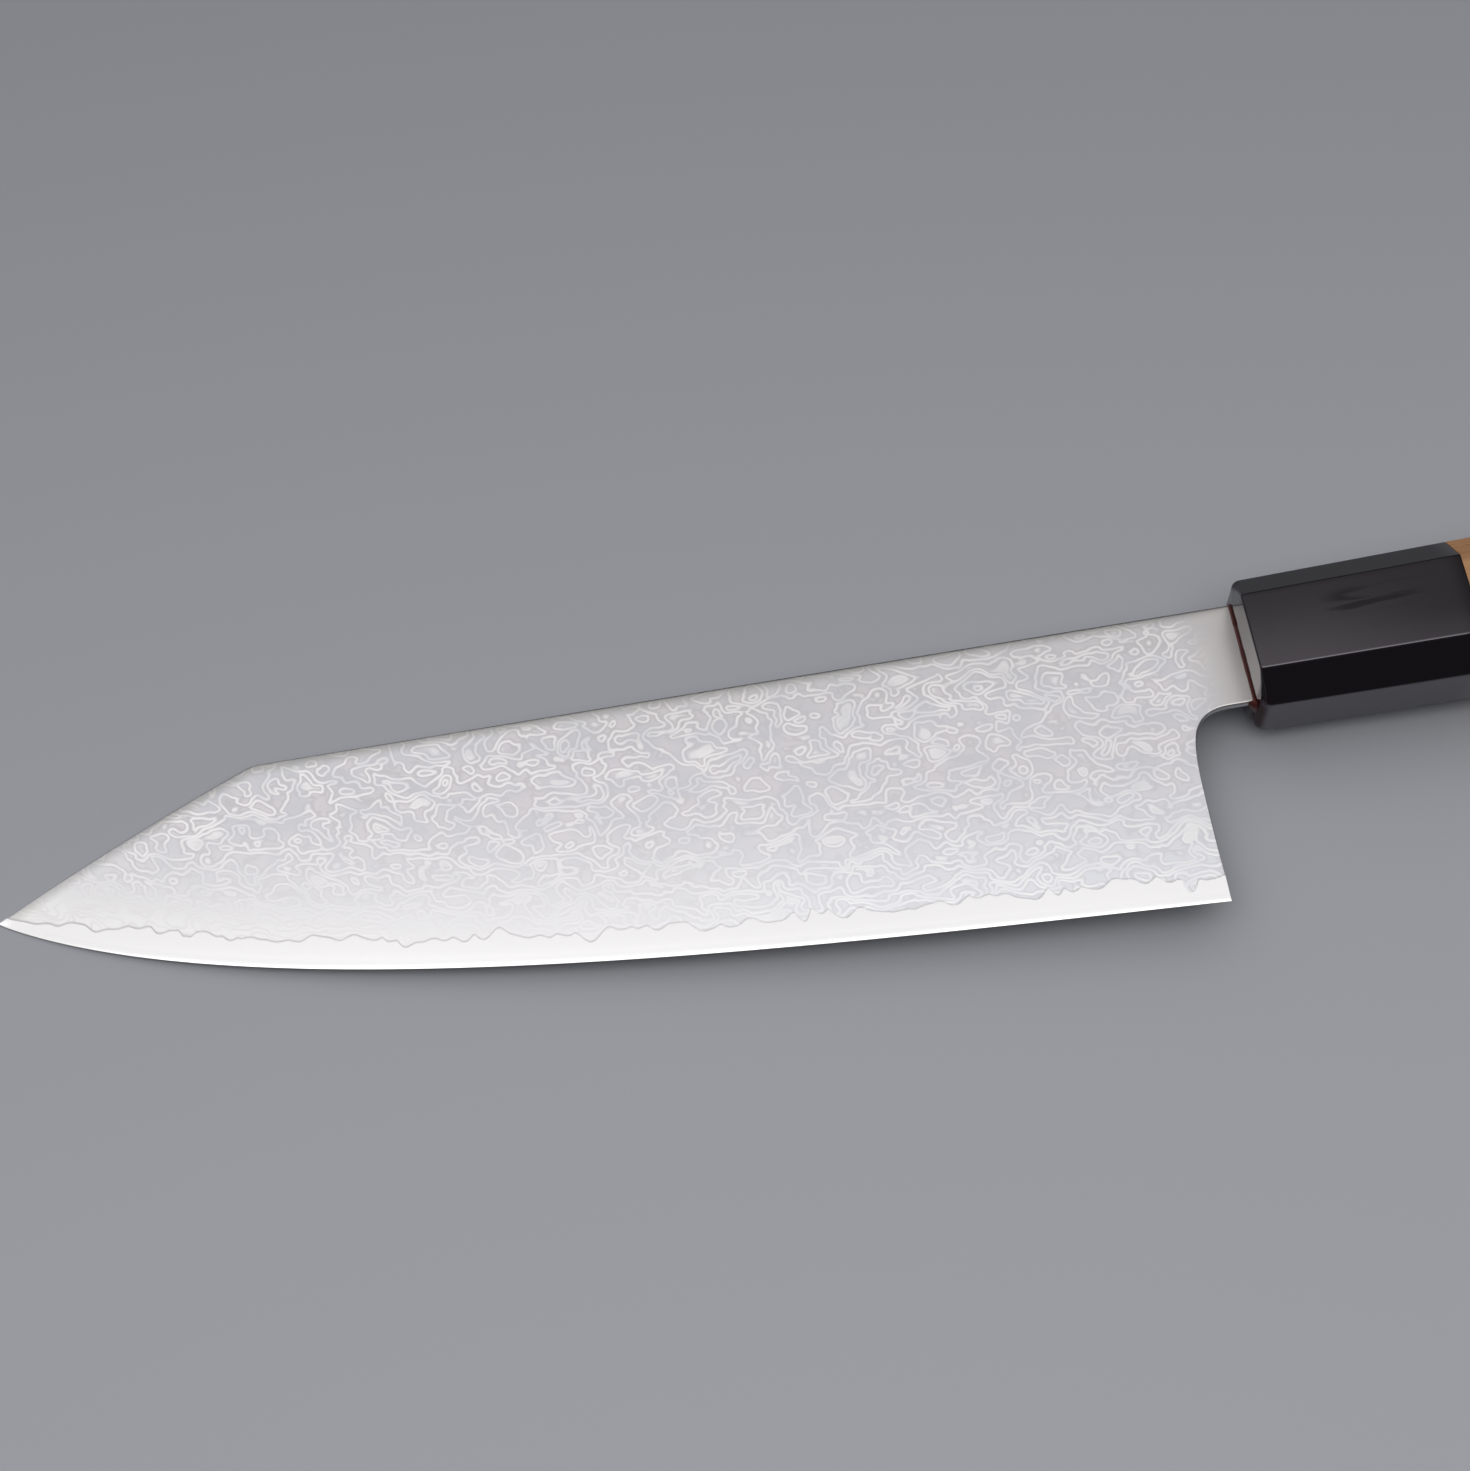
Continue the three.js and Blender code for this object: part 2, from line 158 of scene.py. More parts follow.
# Resin bead between neck and ferrule: its hollow is the power of its flare, and its ripples are a count
# round the neck, a share and a start
SEAL_LIP = 0.75
SEAL_DROP = 1.3
SEAL_THICKNESS = 0.34
SEAL_FRONT = 0.36
SEAL_LOW_FRONT = 0.9
SEAL_SKIN = 0.04
SEAL_FOOT = 0.32
SEAL_HOLLOW = 2.0
SEAL_LOW_HOLLOW = 0.8
SEAL_UNDERSIDE = (0.2, 0.9)
SEAL_RIPPLES = (
    (5, 0.06, 1.0),
    (13, 0.04, 0.0),
)
SEAL_GRIP = 0.3
SEAL_INNER_WIDENING = 1.2
MOUTH_ROOM = 0.05
NECK_CORNER_ROUND = 0.25

# Places that follow from the sizes
HEEL_X = -NECK_LENGTH
POINT_X = HEEL_X - BLADE_LENGTH
CORNER_X = POINT_X + POINT_LENGTH
CORNER_Y = SPINE_ABOVE_AXIS + SPINE_RISE
NECK_BOTTOM_Y = SPINE_ABOVE_AXIS - NECK_HEIGHT
SHOULDER_X = -SEAL_THICKNESS
SEAL_BACK_X = -GLUE_LINE / 5
SLOT_HALF_HEIGHT = TANG_FRONT_HEIGHT / 2 + BEDDING
SLOT_HALF_THICKNESS = SPINE_THICKNESS / 2 + BEDDING
DOWEL_RADIUS = math.hypot(SLOT_HALF_HEIGHT + GLUE_LINE, SLOT_HALF_THICKNESS + GLUE_LINE) + DOWEL_WALL
BORE_RADIUS = DOWEL_RADIUS + GLUE_LINE
BORE_END_X = TANG_LENGTH + BEDDING + 3 * GLUE_LINE + DOWEL_TAIL

# The corner cut of a regular octagon, as a share of its half width
OCTAGON_CUT = 2 - math.sqrt(2)

# Fineness of the surfaces
EDGE_SAMPLES = 4001
CLAD_LINE_COLUMNS = 520
LEAST_COLUMN = 0.15
FAN_LENGTH = 30.0
POINT_COLUMNS = 14
POINT_FIRST_SHARE = 0.02
POINT_CROWDING = 1.5
HEEL_COLUMNS = 26
CHOIL_COLUMNS = 44
NECK_COLUMNS = 10
TANG_COLUMNS = 6
FACE_ROWS = 64
LOW_LIP_ROWS = 7
TOP_LIP_ROWS = 9
STRIP_ROWS = 12
ARC_STEPS = 7
SIDE_SHARES = (0.04, 0.35, 0.65, 0.96)
ROUND_STEPS = 9
SIDE_STATIONS = 12
SIDE_MARGIN = 0.5
SEAL_COLUMNS = 180
SHARP_ANGLE = 38.0


def lerp(start, end, share):
    """Start at share 0, end at share 1, and in a straight line between."""
    return start + (end - start) * share


def smooth(value, low, high):
    """Goes from 0 at low to 1 at high, level at both ends."""
    share = np.clip((value - low) / (high - low), 0, 1)
    return share * share * (3 - 2 * share)


def unit(vectors):
    """Each vector over its own length."""
    return vectors / np.linalg.norm(vectors, axis=-1, keepdims=True)


def lengths_along(places):
    """Distance of each place from the first, measured along the line through them."""
    return np.concatenate([[0], np.cumsum(np.linalg.norm(np.diff(places, axis=0), axis=1))])


def normals(places):
    """Directions square to the line through the places, to its left. On the edge and on the lower border
    they point into the blade."""
    along = unit(np.gradient(places, axis=0))
    return np.stack([-along[:, 1], along[:, 0]], axis=-1)


def raised(places, z):
    """Places in the blade's plane, with a Z for each."""
    return np.concatenate([places, z[..., None]], axis=-1)


# Lines of the blade


def spine_y(x):
    """Height of the spine: the straight back and the line to the point, blended at the K corner.
    The line to the point is bowed as a parabola. The blend is the lower branch of a hyperbola that has
    both lines as its arms."""
    back = CORNER_Y + SPINE_RISE / CORNER_X * (x - CORNER_X)
    from_point = (x - POINT_X) / POINT_LENGTH
    drop = POINT_DROP - 4 * POINT_BOW * np.minimum(from_point, 1)
    k_line = CORNER_Y + drop * (from_point - 1)
    return (back + k_line) / 2 - np.hypot((back - k_line) / 2, K_CORNER_ROUND)


def cubic(a, b, c, d, t):
    """A cubic curve from a to d that leaves a towards b and reaches d from c."""
    return a * (1 - t) ** 3 + 3 * b * t * (1 - t) ** 2 + 3 * c * t**2 * (1 - t) + d * t**3


def edge_samples():
    """The cutting edge from point to heel, a cubic curve set by its two ends and their angles.
    Gives the distance along it from the point, and its X and Y."""
    heel_angle = math.radians(EDGE_HEEL_ANGLE)
    point_angle = math.radians(EDGE_POINT_ANGLE)
    heel = np.array([HEEL_X, spine_y(HEEL_X) - HEEL_HEIGHT])
    point = np.array([POINT_X, spine_y(POINT_X)])
    flat = heel + EDGE_FLAT_REACH * np.array([-math.cos(heel_angle), math.sin(heel_angle)])
    belly = point + EDGE_BELLY_REACH * np.array([math.cos(point_angle), -math.sin(point_angle)])
    places = cubic(point, belly, flat, heel, np.linspace(0, 1, EDGE_SAMPLES)[:, None])
    return lengths_along(places), places[:, 0], places[:, 1]


EDGE_ALONG, EDGE_X, EDGE_Y = edge_samples()
EDGE_LENGTH = EDGE_ALONG[-1]


def edge_y(x):
    """Height of the edge. Behind the heel it stays at the heel's own height."""
    return np.interp(x, EDGE_X, EDGE_Y)


def edge_along(x):
    """Distance from the point along the edge, carried on straight behind the heel."""
    return np.interp(x, EDGE_X, EDGE_ALONG) + np.maximum(x - HEEL_X, 0)


def edge_place(along):
    """X and Y of the edge at a distance along it from the point."""
    return np.stack([np.interp(along, EDGE_ALONG, axis) for axis in (EDGE_X, EDGE_Y)], axis=-1)


def spine_half(x):
    """Half the spine's thickness, which shrinks with the square of the distance from the heel."""
    share = np.clip((HEEL_X - x) / BLADE_LENGTH, 0, 1)
    return lerp(SPINE_THICKNESS, POINT_THICKNESS, share**2) / 2


def core_half(x):
    """Half the core's thickness under the claddings: a fixed share of the spine's."""
    return CORE_THICKNESS / SPINE_THICKNESS * spine_half(x)


def face_z(x, y):
    """Half the blade's thickness at a place: a power of the height above the edge, so a convex grind."""
    low = edge_y(x)
    top = spine_y(x)
    shoulder = np.maximum(top - SPINE_EASE, lerp(low, top, GRIND_LEAST_SHARE))
    share = np.clip((y - low) / np.maximum(shoulder - low, 1e-6), 0, 1)
    return spine_half(x) * share**GRIND_POWER


def clad_height(along):
    """Height of the clad line above the edge: a level that falls towards the point, with sine waves in
    it. Lobes hang from it, each half a sine with eased cusps between, and a few drips, each a bell with a
    flat end."""
    height = lerp(CLAD_LINE_POINT_HEIGHT, CLAD_LINE_HEIGHT, smooth(along, 0, CLAD_LINE_NARROWING))
    grown = smooth(along, *CLAD_WAVES_GROW)
    for length, size in CLAD_WAVES:
        height = height + size * grown * np.sin(2 * math.pi * along / length)
    turn = math.pi * along / LOBE_LENGTH
    for length, size, start in LOBE_SPACING_WAVES:
        turn = turn + size * np.sin(2 * math.pi * along / length + start)
    lobe = np.sqrt(np.sin(turn) ** 2 + LOBE_CUSP_EASE)
    swell = 1 + LOBE_SWELL * np.sin(2 * math.pi * along / LOBE_SWELL_LENGTH)
    hang = LOBE_HEIGHT * grown * lerp(LOBE_POINT_SHARE, 1, smooth(along, *LOBES_GROW))
    height = height + hang * (LOBE_LEVEL - lobe) * swell
    for from_heel, depth, half in CLAD_DRIPS:
        height = height - depth * np.exp(-(((EDGE_LENGTH - along - from_heel) / half) ** DRIP_POWER))
    return height


def clad_line(along):
    """The edge, and the lower end of the claddings, set off square from it by the clad line's height."""
    edge = edge_place(along)
    line = edge + normals(edge) * clad_height(along)[:, None]
    line[:, 0] = np.minimum(line[:, 0], HEEL_X)
    return edge, line


def rear_border(start):
    """From the clad line's end at the heel: straight up the heel, round the choil on a cubic curve, and
    along the neck's underside."""
    choil_low = np.array([HEEL_X, NECK_BOTTOM_Y - CHOIL_HEIGHT])
    choil_high = np.array([HEEL_X + CHOIL_DEPTH, NECK_BOTTOM_Y])
    neck_end = np.array([SHOULDER_X, NECK_BOTTOM_Y])
    low_pull = choil_low + [0, CHOIL_HEIGHT * CHOIL_FULLNESS]
    high_pull = choil_high - [CHOIL_DEPTH * CHOIL_FULLNESS, 0]
    counts = (HEEL_COLUMNS, CHOIL_COLUMNS, NECK_COLUMNS)
    on_heel, on_choil, on_neck = (np.linspace(0, 1, count + 1)[1:, None] for count in counts)
    heel = lerp(start, choil_low, on_heel)
    choil = cubic(choil_low, low_pull, high_pull, choil_high, on_choil)
    neck = lerp(choil_high, neck_end, on_neck)
    return np.concatenate([heel, choil, neck])


def blade_columns():
    """The blade as columns from its lower border to its spine, from the cladding's tip to the neck's end.
    Ahead of the fan the columns stand upright; behind it their tops are spread evenly along the spine.
    Gives the edge under each column, the lower border, the spine end, and which columns have an edge."""
    edge, line = clad_line(np.linspace(0, EDGE_LENGTH, CLAD_LINE_COLUMNS))
    inside = line[:, 1] < spine_y(line[:, 0]) - LEAST_COLUMN
    edge, line = edge[inside], line[inside]
    rear = rear_border(line[-1])
    border = np.concatenate([line, rear])
    edge = np.concatenate([edge, rear])
    has_edge = np.arange(len(border)) < len(line)
    length = lengths_along(border)
    first = int(np.searchsorted(border[:, 0], HEEL_X - FAN_LENGTH))
    spread = np.clip((length - length[first]) / (length[-1] - length[first]), 0, 1)
    top_x = np.where(length < length[first], border[:, 0], lerp(border[first, 0], SHOULDER_X, spread))
    top = np.stack([top_x, spine_y(top_x)], axis=-1)
    return edge, border, top, has_edge


COLUMN_EDGE, COLUMN_LOW, COLUMN_TOP, COLUMN_HAS_EDGE = blade_columns()


def tang_columns():
    """Lower and upper ends of the tang's columns, from the shoulder to the tang's end."""
    share = np.linspace(0, 1, TANG_COLUMNS)
    x = lerp(SHOULDER_X, TANG_LENGTH, share)
    half = lerp(TANG_FRONT_HEIGHT, TANG_END_HEIGHT, share) / 2
    return np.stack([x, -half], axis=-1), np.stack([x, half], axis=-1)


# Meshes


def handle_half(x):
    """Half height, half thickness and corner cut of the octagonal handle, growing evenly to the butt."""
    share = np.asarray(x, float) / HANDLE_LENGTH
    return (
        lerp(HANDLE_FRONT_HEIGHT, HANDLE_BUTT_HEIGHT, share) / 2,
        lerp(HANDLE_FRONT_THICKNESS, HANDLE_BUTT_THICKNESS, share) / 2,
        lerp(HANDLE_FRONT_CHAMFER, HANDLE_BUTT_CHAMFER, share),
    )


def knife_place():
    """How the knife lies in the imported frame: the lean that lays its point and its ferrule on the table,
    and its own origin, with X from the point, Y from the top of the bead and Z from the ferrule's lowest
    edge."""
    lean = math.asin((HANDLE_FRONT_THICKNESS - POINT_THICKNESS) / 2 / (FERRULE_ROUND - POINT_X))
    turn = np.array(
        [
            [math.cos(lean), 0, -math.sin(lean)],
            [0, 1, 0],
            [math.sin(lean), 0, math.cos(lean)],
        ]
    )
    low_z = -handle_half(FERRULE_ROUND)[1]
    known = np.array([POINT_X * math.cos(lean), SPINE_ABOVE_AXIS + SEAL_LIP, 0])
    known[2] = FERRULE_ROUND * math.sin(lean) + low_z * math.cos(lean)
    found = np.array([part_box("blade_core")[0].x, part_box("mouth_seal")[1].y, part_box("ferrule")[0].z])
    return turn, found - known / 1000


TURN, ORIGIN = knife_place()


def grid_faces(rings, around, looped):
    """Quads between neighbouring rings of as many points each. If looped, the last ring joins the first."""
    ring, step = np.meshgrid(np.arange(rings if looped else rings - 1), np.arange(around), indexing="ij")
    next_ring = (ring + 1) % rings
    next_step = (step + 1) % around
    corners = [
        ring * around + step,
        ring * around + next_step,
        next_ring * around + next_step,
        next_ring * around + step,
    ]
    return np.stack(corners, axis=-1).reshape(-1, 4)


def signed_volume(points, quads):
    """Sum over the quads' triangles of the volume that each spans with the middle of the body."""
    points = points - points.mean(axis=0)
    a, b, c, d = (points[quads[:, corner]] for corner in range(4))
    return (np.cross(a, b) * c + np.cross(a, c) * d).sum() / 6


def make_piece(name, rings, values, finish, node, looped=False):
    """One closed piece through rings of as many points each, given in the knife's own frame. A flat cap
    closes each end, unless the last ring joins the first. The values, and the distance below the spine,
    are kept with the points for the finish."""
    count, around = rings.shape[:2]
    points = rings.reshape(-1, 3)
    quads = grid_faces(count, around, looped)
    inside_out = signed_volume(points, quads) < 0
    if inside_out:
        quads = quads[:, ::-1]
    faces = quads.tolist()
    if not looped:
        first = list(range(around))
        last = list(range((count - 1) * around, count * around))
        faces.append(first if inside_out else first[::-1])
        faces.append(last[::-1] if inside_out else last)
    mesh = bpy.data.meshes.new(name)
    placed = points @ TURN.T / 1000 + ORIGIN
    mesh.from_pydata(placed.tolist(), [], faces)
    mesh.polygons.foreach_set("use_smooth", np.ones(len(mesh.polygons), bool))
    mesh.set_sharp_from_angle(angle=math.radians(SHARP_ANGLE))
    kept = mesh.attributes.new("pattern", "FLOAT_VECTOR", "POINT")
    kept.data.foreach_set("vector", values.reshape(-1, 3).astype(np.float32).ravel())
    kept = mesh.attributes.new("below_spine", "FLOAT", "POINT")
    kept.data.foreach_set("value", (spine_y(points[:, 0]) - points[:, 1]).astype(np.float32))
    mesh.update()
    piece = bpy.data.objects.new(name, mesh)
    bpy.context.scene.collection.objects.link(piece)
    mesh.materials.append(finish)
    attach(piece, "root")
    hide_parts(node)


def blade_values(rings, above):
    """What the steel's finish reads: distance along the edge, height above it, and distance above the
    clad line."""
    x, y = rings[..., 0], rings[..., 1]
    return np.stack([edge_along(x), y - edge_y(x), above], axis=-1)


# Blade


def lip_rows(count):
    """Shares of a rounding at which rows lie, close together at its border, where it is steepest."""
    return np.linspace(0, 1, count) ** 2


def round_drop(distance, reach, drop):
    """How far a face falls towards its border: a quarter of an ellipse."""
    left = np.clip(1 - distance / reach, 0, 1)
    return drop * (1 - np.sqrt(1 - left**2))


def inner_side(top, low):
    """A cladding's way back from its spine end to its lower end, a weld line off the core."""
    ends = np.stack([top, low], axis=1)
    return raised(ends, core_half(ends[..., 0]) + WELD_LINE)


def cladding_rings(side):
    """Each ring goes up the outer face from the lower border to the spine and back down along the core.
    Rows crowd at both ends, where the face falls away in a quarter of an ellipse.
    Gives the rings, and each point's distance above the clad line."""
    low, top = COLUMN_LOW, COLUMN_TOP
    length = np.linalg.norm(top - low, axis=1)
    upward = (top - low) / length[:, None]
    squareness = np.clip((normals(low) * upward).sum(axis=1), LEAST_SQUARENESS, 1)
    room = ROUND_LENGTH_SHARE * length
    low_reach = np.minimum(np.where(COLUMN_HAS_EDGE, CLAD_LINE_ROUND[0], REAR_ROUND[0]), room)
    top_reach = np.minimum(SPINE_ROUND[0], room)
    low_rows = lip_rows(LOW_LIP_ROWS)[None, :] * (low_reach / squareness)[:, None]
    top_rows = length[:, None] - lip_rows(TOP_LIP_ROWS)[::-1][None, :] * top_reach[:, None]
    between = np.linspace(0, 1, FACE_ROWS)[None, 1:-1]
    mid_rows = lerp(low_rows[:, -1:], top_rows[:, :1], between)
    rows = np.concatenate([low_rows, mid_rows, top_rows], axis=1)
    place = low[:, None, :] + upward[:, None, :] * rows[..., None]
    x, y = place[..., 0], place[..., 1]
    z = face_z(x, y)
    spare = ROUND_DEPTH_SHARE * np.maximum(z - (core_half(x) + WELD_LINE), 0)
    low_drop = np.where(COLUMN_HAS_EDGE, CLAD_LINE_ROUND[1], REAR_ROUND[1])[:, None]
    low_drop = np.minimum(low_drop, spare)
    top_drop = np.minimum(SPINE_ROUND[1], spare)
    z = z - round_drop(rows * squareness[:, None], low_reach[:, None], low_drop)
    z = z - round_drop(length[:, None] - rows, top_reach[:, None], top_drop)
    blade = np.concatenate([raised(place, z), inner_side(top, low)], axis=1)

    tang_low, tang_top = tang_columns()
    share = rows[-1] / rows[-1, -1]
    face = lerp(tang_low[:, None, :], tang_top[:, None, :], share[None, :, None])
    face = raised(face, face_z(face[..., 0], face[..., 1]))
    tang = np.concatenate([face, inner_side(tang_top, tang_low)], axis=1)

    rings = np.concatenate([blade, tang])
    above = np.full(rings.shape[:2], FAR_ABOVE)
    line_count = int(COLUMN_HAS_EDGE.sum())
    above[:line_count, : rows.shape[1]] = rows[:line_count]
    return rings * [1, 1, side], above


def core_rings():
    """Each ring starts on the edge and goes up one face of the bare strip to the clad line, in to the
    core's flat side, up to the spine, and back down the other side. Ahead of the claddings the strip
    reaches the spine. Behind the heel its rows lie across the core's narrow underside instead.
    Gives the rings, and each point's distance from the clad line, counted down."""
    tip_share = np.linspace(POINT_FIRST_SHARE, 1, POINT_COLUMNS)[:-1] ** POINT_CROWDING
    tip_edge = edge_place(tip_share * edge_along(COLUMN_EDGE[0, 0]))
    tip_top_x = lerp(POINT_X, COLUMN_LOW[0, 0], tip_share)
    tip_top = np.stack([tip_top_x, spine_y(tip_top_x)], axis=-1)
    tang_low, tang_top = tang_columns()
    edge = np.concatenate([tip_edge, COLUMN_EDGE, tang_low])
    line = np.concatenate([tip_top, COLUMN_LOW, tang_low])
    top = np.concatenate([tip_top, COLUMN_TOP, tang_top])
    bare = np.concatenate([np.ones(len(tip_edge), bool), COLUMN_HAS_EDGE, np.zeros(TANG_COLUMNS, bool)])
    is_tip = np.arange(len(edge)) < len(tip_edge)

    share = np.linspace(0, 1, STRIP_ROWS)
    strip = lerp(edge[:, None, :], line[:, None, :], (share**2)[None, :, None])
    strip_z = face_z(strip[..., 0], strip[..., 1])
    strip_z[:, 0] = 0
    flat_z = core_half(line[:, 0])
    under_z = flat_z[:, None] * share[None, :] * CORE_UNDER_SHARE
    strip_z = np.where(bare[:, None], strip_z, under_z)
    outer_z = strip_z[:, -1]
    line_z = np.where(is_tip, outer_z * CORE_TIP_SHARE, flat_z)
    top_z = np.where(is_tip, outer_z * CORE_TIP_TOP_SHARE, core_half(top[:, 0]))
    side_place = np.concatenate([strip, line[:, None, :], top[:, None, :]], axis=1)
    side_z = np.concatenate([strip_z, line_z[:, None], top_z[:, None]], axis=1)
    left = raised(side_place, side_z)
    right = left[:, :0:-1] * [1, 1, -1]
    below = np.linalg.norm(side_place - line[:, None, :], axis=-1)
    below = np.concatenate([below, below[:, :0:-1]], axis=1)
    return np.concatenate([left, right], axis=1), -below


# Handle


def eased_outlines(corners, radius):
    """Rounds the corners of convex outlines, one outline per row. Each corner becomes an arc about the
    point that lies the radius away from both its sides, and each side keeps points close to its two
    ends."""
    to_last = unit(np.roll(corners, 1, axis=1) - corners)
    to_next = unit(np.roll(corners, -1, axis=1) - corners)
    half_sine = np.sqrt((1 - (to_last * to_next).sum(axis=-1)) / 2)
    centre = corners + unit(to_last + to_next) * (radius / half_sine)[..., None]
    start = np.arctan2(to_last[..., 0], -to_last[..., 1])
    end = np.arctan2(-to_next[..., 0], to_next[..., 1])
    sweep = (end - start) % (2 * math.pi)
    turn = start[..., None] + sweep[..., None] * np.linspace(0, 1, ARC_STEPS)
    spoke = np.stack([np.cos(turn), np.sin(turn)], axis=-1)
    arc = centre[:, :, None, :] + radius[..., None, None] * spoke
    next_start = np.roll(arc[:, :, 0], -1, axis=1)
    side_share = np.array(SIDE_SHARES)[None, None, :, None]
    side = lerp(arc[:, :, -1:, :], next_start[:, :, None, :], side_share)
    return np.concatenate([arc, side], axis=2).reshape(len(corners), -1, 2)


def octagon_rings(stations):
    """Rings from rows of X, half height, half thickness, corner cut and corner rounding."""
    x, high, thick, cut, radius = np.array(stations, float).T
    corners = np.stack(
        [
            np.stack([high, thick - cut], axis=-1),
            np.stack([high - cut, thick], axis=-1),
            np.stack([cut - high, thick], axis=-1),
            np.stack([-high, thick - cut], axis=-1),
            np.stack([-high, cut - thick], axis=-1),
            np.stack([cut - high, -thick], axis=-1),
            np.stack([high - cut, -thick], axis=-1),
            np.stack([high, cut - thick], axis=-1),
        ],
        axis=1,
    )
    outline = eased_outlines(corners, np.repeat(radius[:, None], 8, axis=1))
    along = np.repeat(x[:, None, None], outline.shape[1], axis=1)
    return np.concatenate([along, outline], axis=-1)


def handle_station(x, inset=0.0):
    """The handle's octagon at a place, drawn in by an even inset on all its faces."""
    high, thick, cut = handle_half(x)
    return (x, high - inset, thick - inset, cut - inset * OCTAGON_CUT, RIDGE_ROUND)


def slot_station(x):
    """The mouth of the tang's slot, an oblong with small corner cuts, no wider than the bead covers."""
    half = SPINE_THICKNESS / 2 + MOUTH_ROOM
    return (x, SLOT_HALF_HEIGHT, half, MOUTH_CORNER_CUT, MOUTH_CORNER_ROUND)


def bore_station(x):
    """The dowel's bore: an octagon rounded until it is a circle."""
    return (x, BORE_RADIUS, BORE_RADIUS, BORE_RADIUS * OCTAGON_CUT, BORE_RADIUS * BORE_ROUNDNESS)


def round_stations(end_x, radius, inward):
    """A quarter circle from an end face to the sides."""
    turns = np.linspace(0, math.pi / 2, ROUND_STEPS)
    return [
        handle_station(end_x + inward * radius * (1 - math.cos(turn)), radius * (1 - math.sin(turn)))
        for turn in turns
    ]


def side_stations(start, end):
    """Even steps along the sides."""
    return [handle_station(x) for x in np.linspace(start, end, SIDE_STATIONS)]


def ferrule_rings():
    """Out of the slot, over the rounded front, along the sides, and back through the dowel's bore.
    Towards the upper broad flat, the front's rounding goes over to a tighter quarter circle."""
    seat = FERRULE_LENGTH - GLUE_LINE / 2
    mouth = octagon_rings([slot_station(FERRULE_FRONT_WALL), slot_station(0)])
    full = octagon_rings(round_stations(0, FERRULE_ROUND, 1))
    tight = octagon_rings(round_stations(0, FERRULE_FLAT_ROUND, 1))
    thick = handle_half(0)[1]
    on_flat = smooth(full[-1, :, 2], thick - FERRULE_FLAT_BLEND[0], thick - FERRULE_FLAT_BLEND[1])
    front = lerp(full, tight, on_flat[None, :, None])
    stations = side_stations(FERRULE_ROUND + SIDE_MARGIN, seat - 2 * JOINT_EASE)
    stations += [handle_station(seat, JOINT_EASE), bore_station(seat), bore_station(FERRULE_FRONT_WALL)]
    return np.concatenate([mouth, front, octagon_rings(stations)])


def grip_rings():
    """Out of the dowel's bore, along the sides and over the rounded butt."""
    front = FERRULE_LENGTH + GLUE_LINE / 2
    stations = [bore_station(BORE_END_X), bore_station(front), handle_station(front, JOINT_EASE)]
    stations += side_stations(front + 2 * JOINT_EASE, HANDLE_LENGTH - BUTT_ROUND - SIDE_MARGIN)
    stations += round_stations(HANDLE_LENGTH, BUTT_ROUND, -1)[::-1]
    return octagon_rings(stations)


def neck_outline():
    """The neck's end as evenly spaced points round a four-sided outline with eased corners, and the
    outward normals there."""
    y = np.array([NECK_BOTTOM_Y, NECK_BOTTOM_Y, SPINE_ABOVE_AXIS, SPINE_ABOVE_AXIS])
    z = face_z(np.full(4, SHOULDER_X), y) * [1, -1, -1, 1]
    outline = eased_outlines(np.stack([y, z], axis=-1)[None], np.full((1, 4), NECK_CORNER_ROUND))[0]
    closed = np.concatenate([outline, outline[:1]])
    length = lengths_along(closed)
    even = np.linspace(0, length[-1], SEAL_COLUMNS, endpoint=False)
    places = np.stack([np.interp(even, length, closed[:, axis]) for axis in (0, 1)], axis=-1)
    along = unit(np.roll(places, -1, axis=0) - np.roll(places, 1, axis=0))
    return places, np.stack([along[:, 1], -along[:, 0]], axis=-1)


def seal_rings():
    """A bead of resin round the neck: a hollow curve carried round the neck's outline, thin on the steel
    and flaring to a wider foot on the ferrule, thickest below the neck. It goes in to the tang behind."""
    places, outward = neck_outline()
    turn = np.linspace(0, 2 * math.pi, SEAL_COLUMNS, endpoint=False)
    below = smooth(-outward[:, 0], *SEAL_UNDERSIDE)
    ripple = 1
    for count, size, start in SEAL_RIPPLES:
        ripple = ripple + size * np.sin(count * turn + start)
    front = lerp(SEAL_FRONT, SEAL_LOW_FRONT, below) * ripple
    width = lerp(SEAL_FOOT, SEAL_DROP, below)
    share = np.linspace(0, 1, ROUND_STEPS)[:, None]
    reach = lerp(SEAL_SKIN, width, share ** lerp(SEAL_HOLLOW, SEAL_LOW_HOLLOW, below))
    reach = np.concatenate([np.full((1, SEAL_COLUMNS), -SEAL_GRIP), reach])
    bead = places + outward * reach[..., None]
    bead_x = lerp(-front, SEAL_BACK_X, np.concatenate([[[0]], share]))
    tang = places * [SLOT_HALF_HEIGHT / NECK_HEIGHT * 2, SEAL_INNER_WIDENING]
    tang_x = np.full((1, SEAL_COLUMNS), GLUE_LINE - SEAL_THICKNESS)
    x = np.concatenate([tang_x, bead_x, np.full((1, SEAL_COLUMNS), SEAL_BACK_X)])
    section = np.concatenate([tang[None], bead, tang[None]])
    return np.concatenate([x[..., None], section], axis=-1)


# Finishes


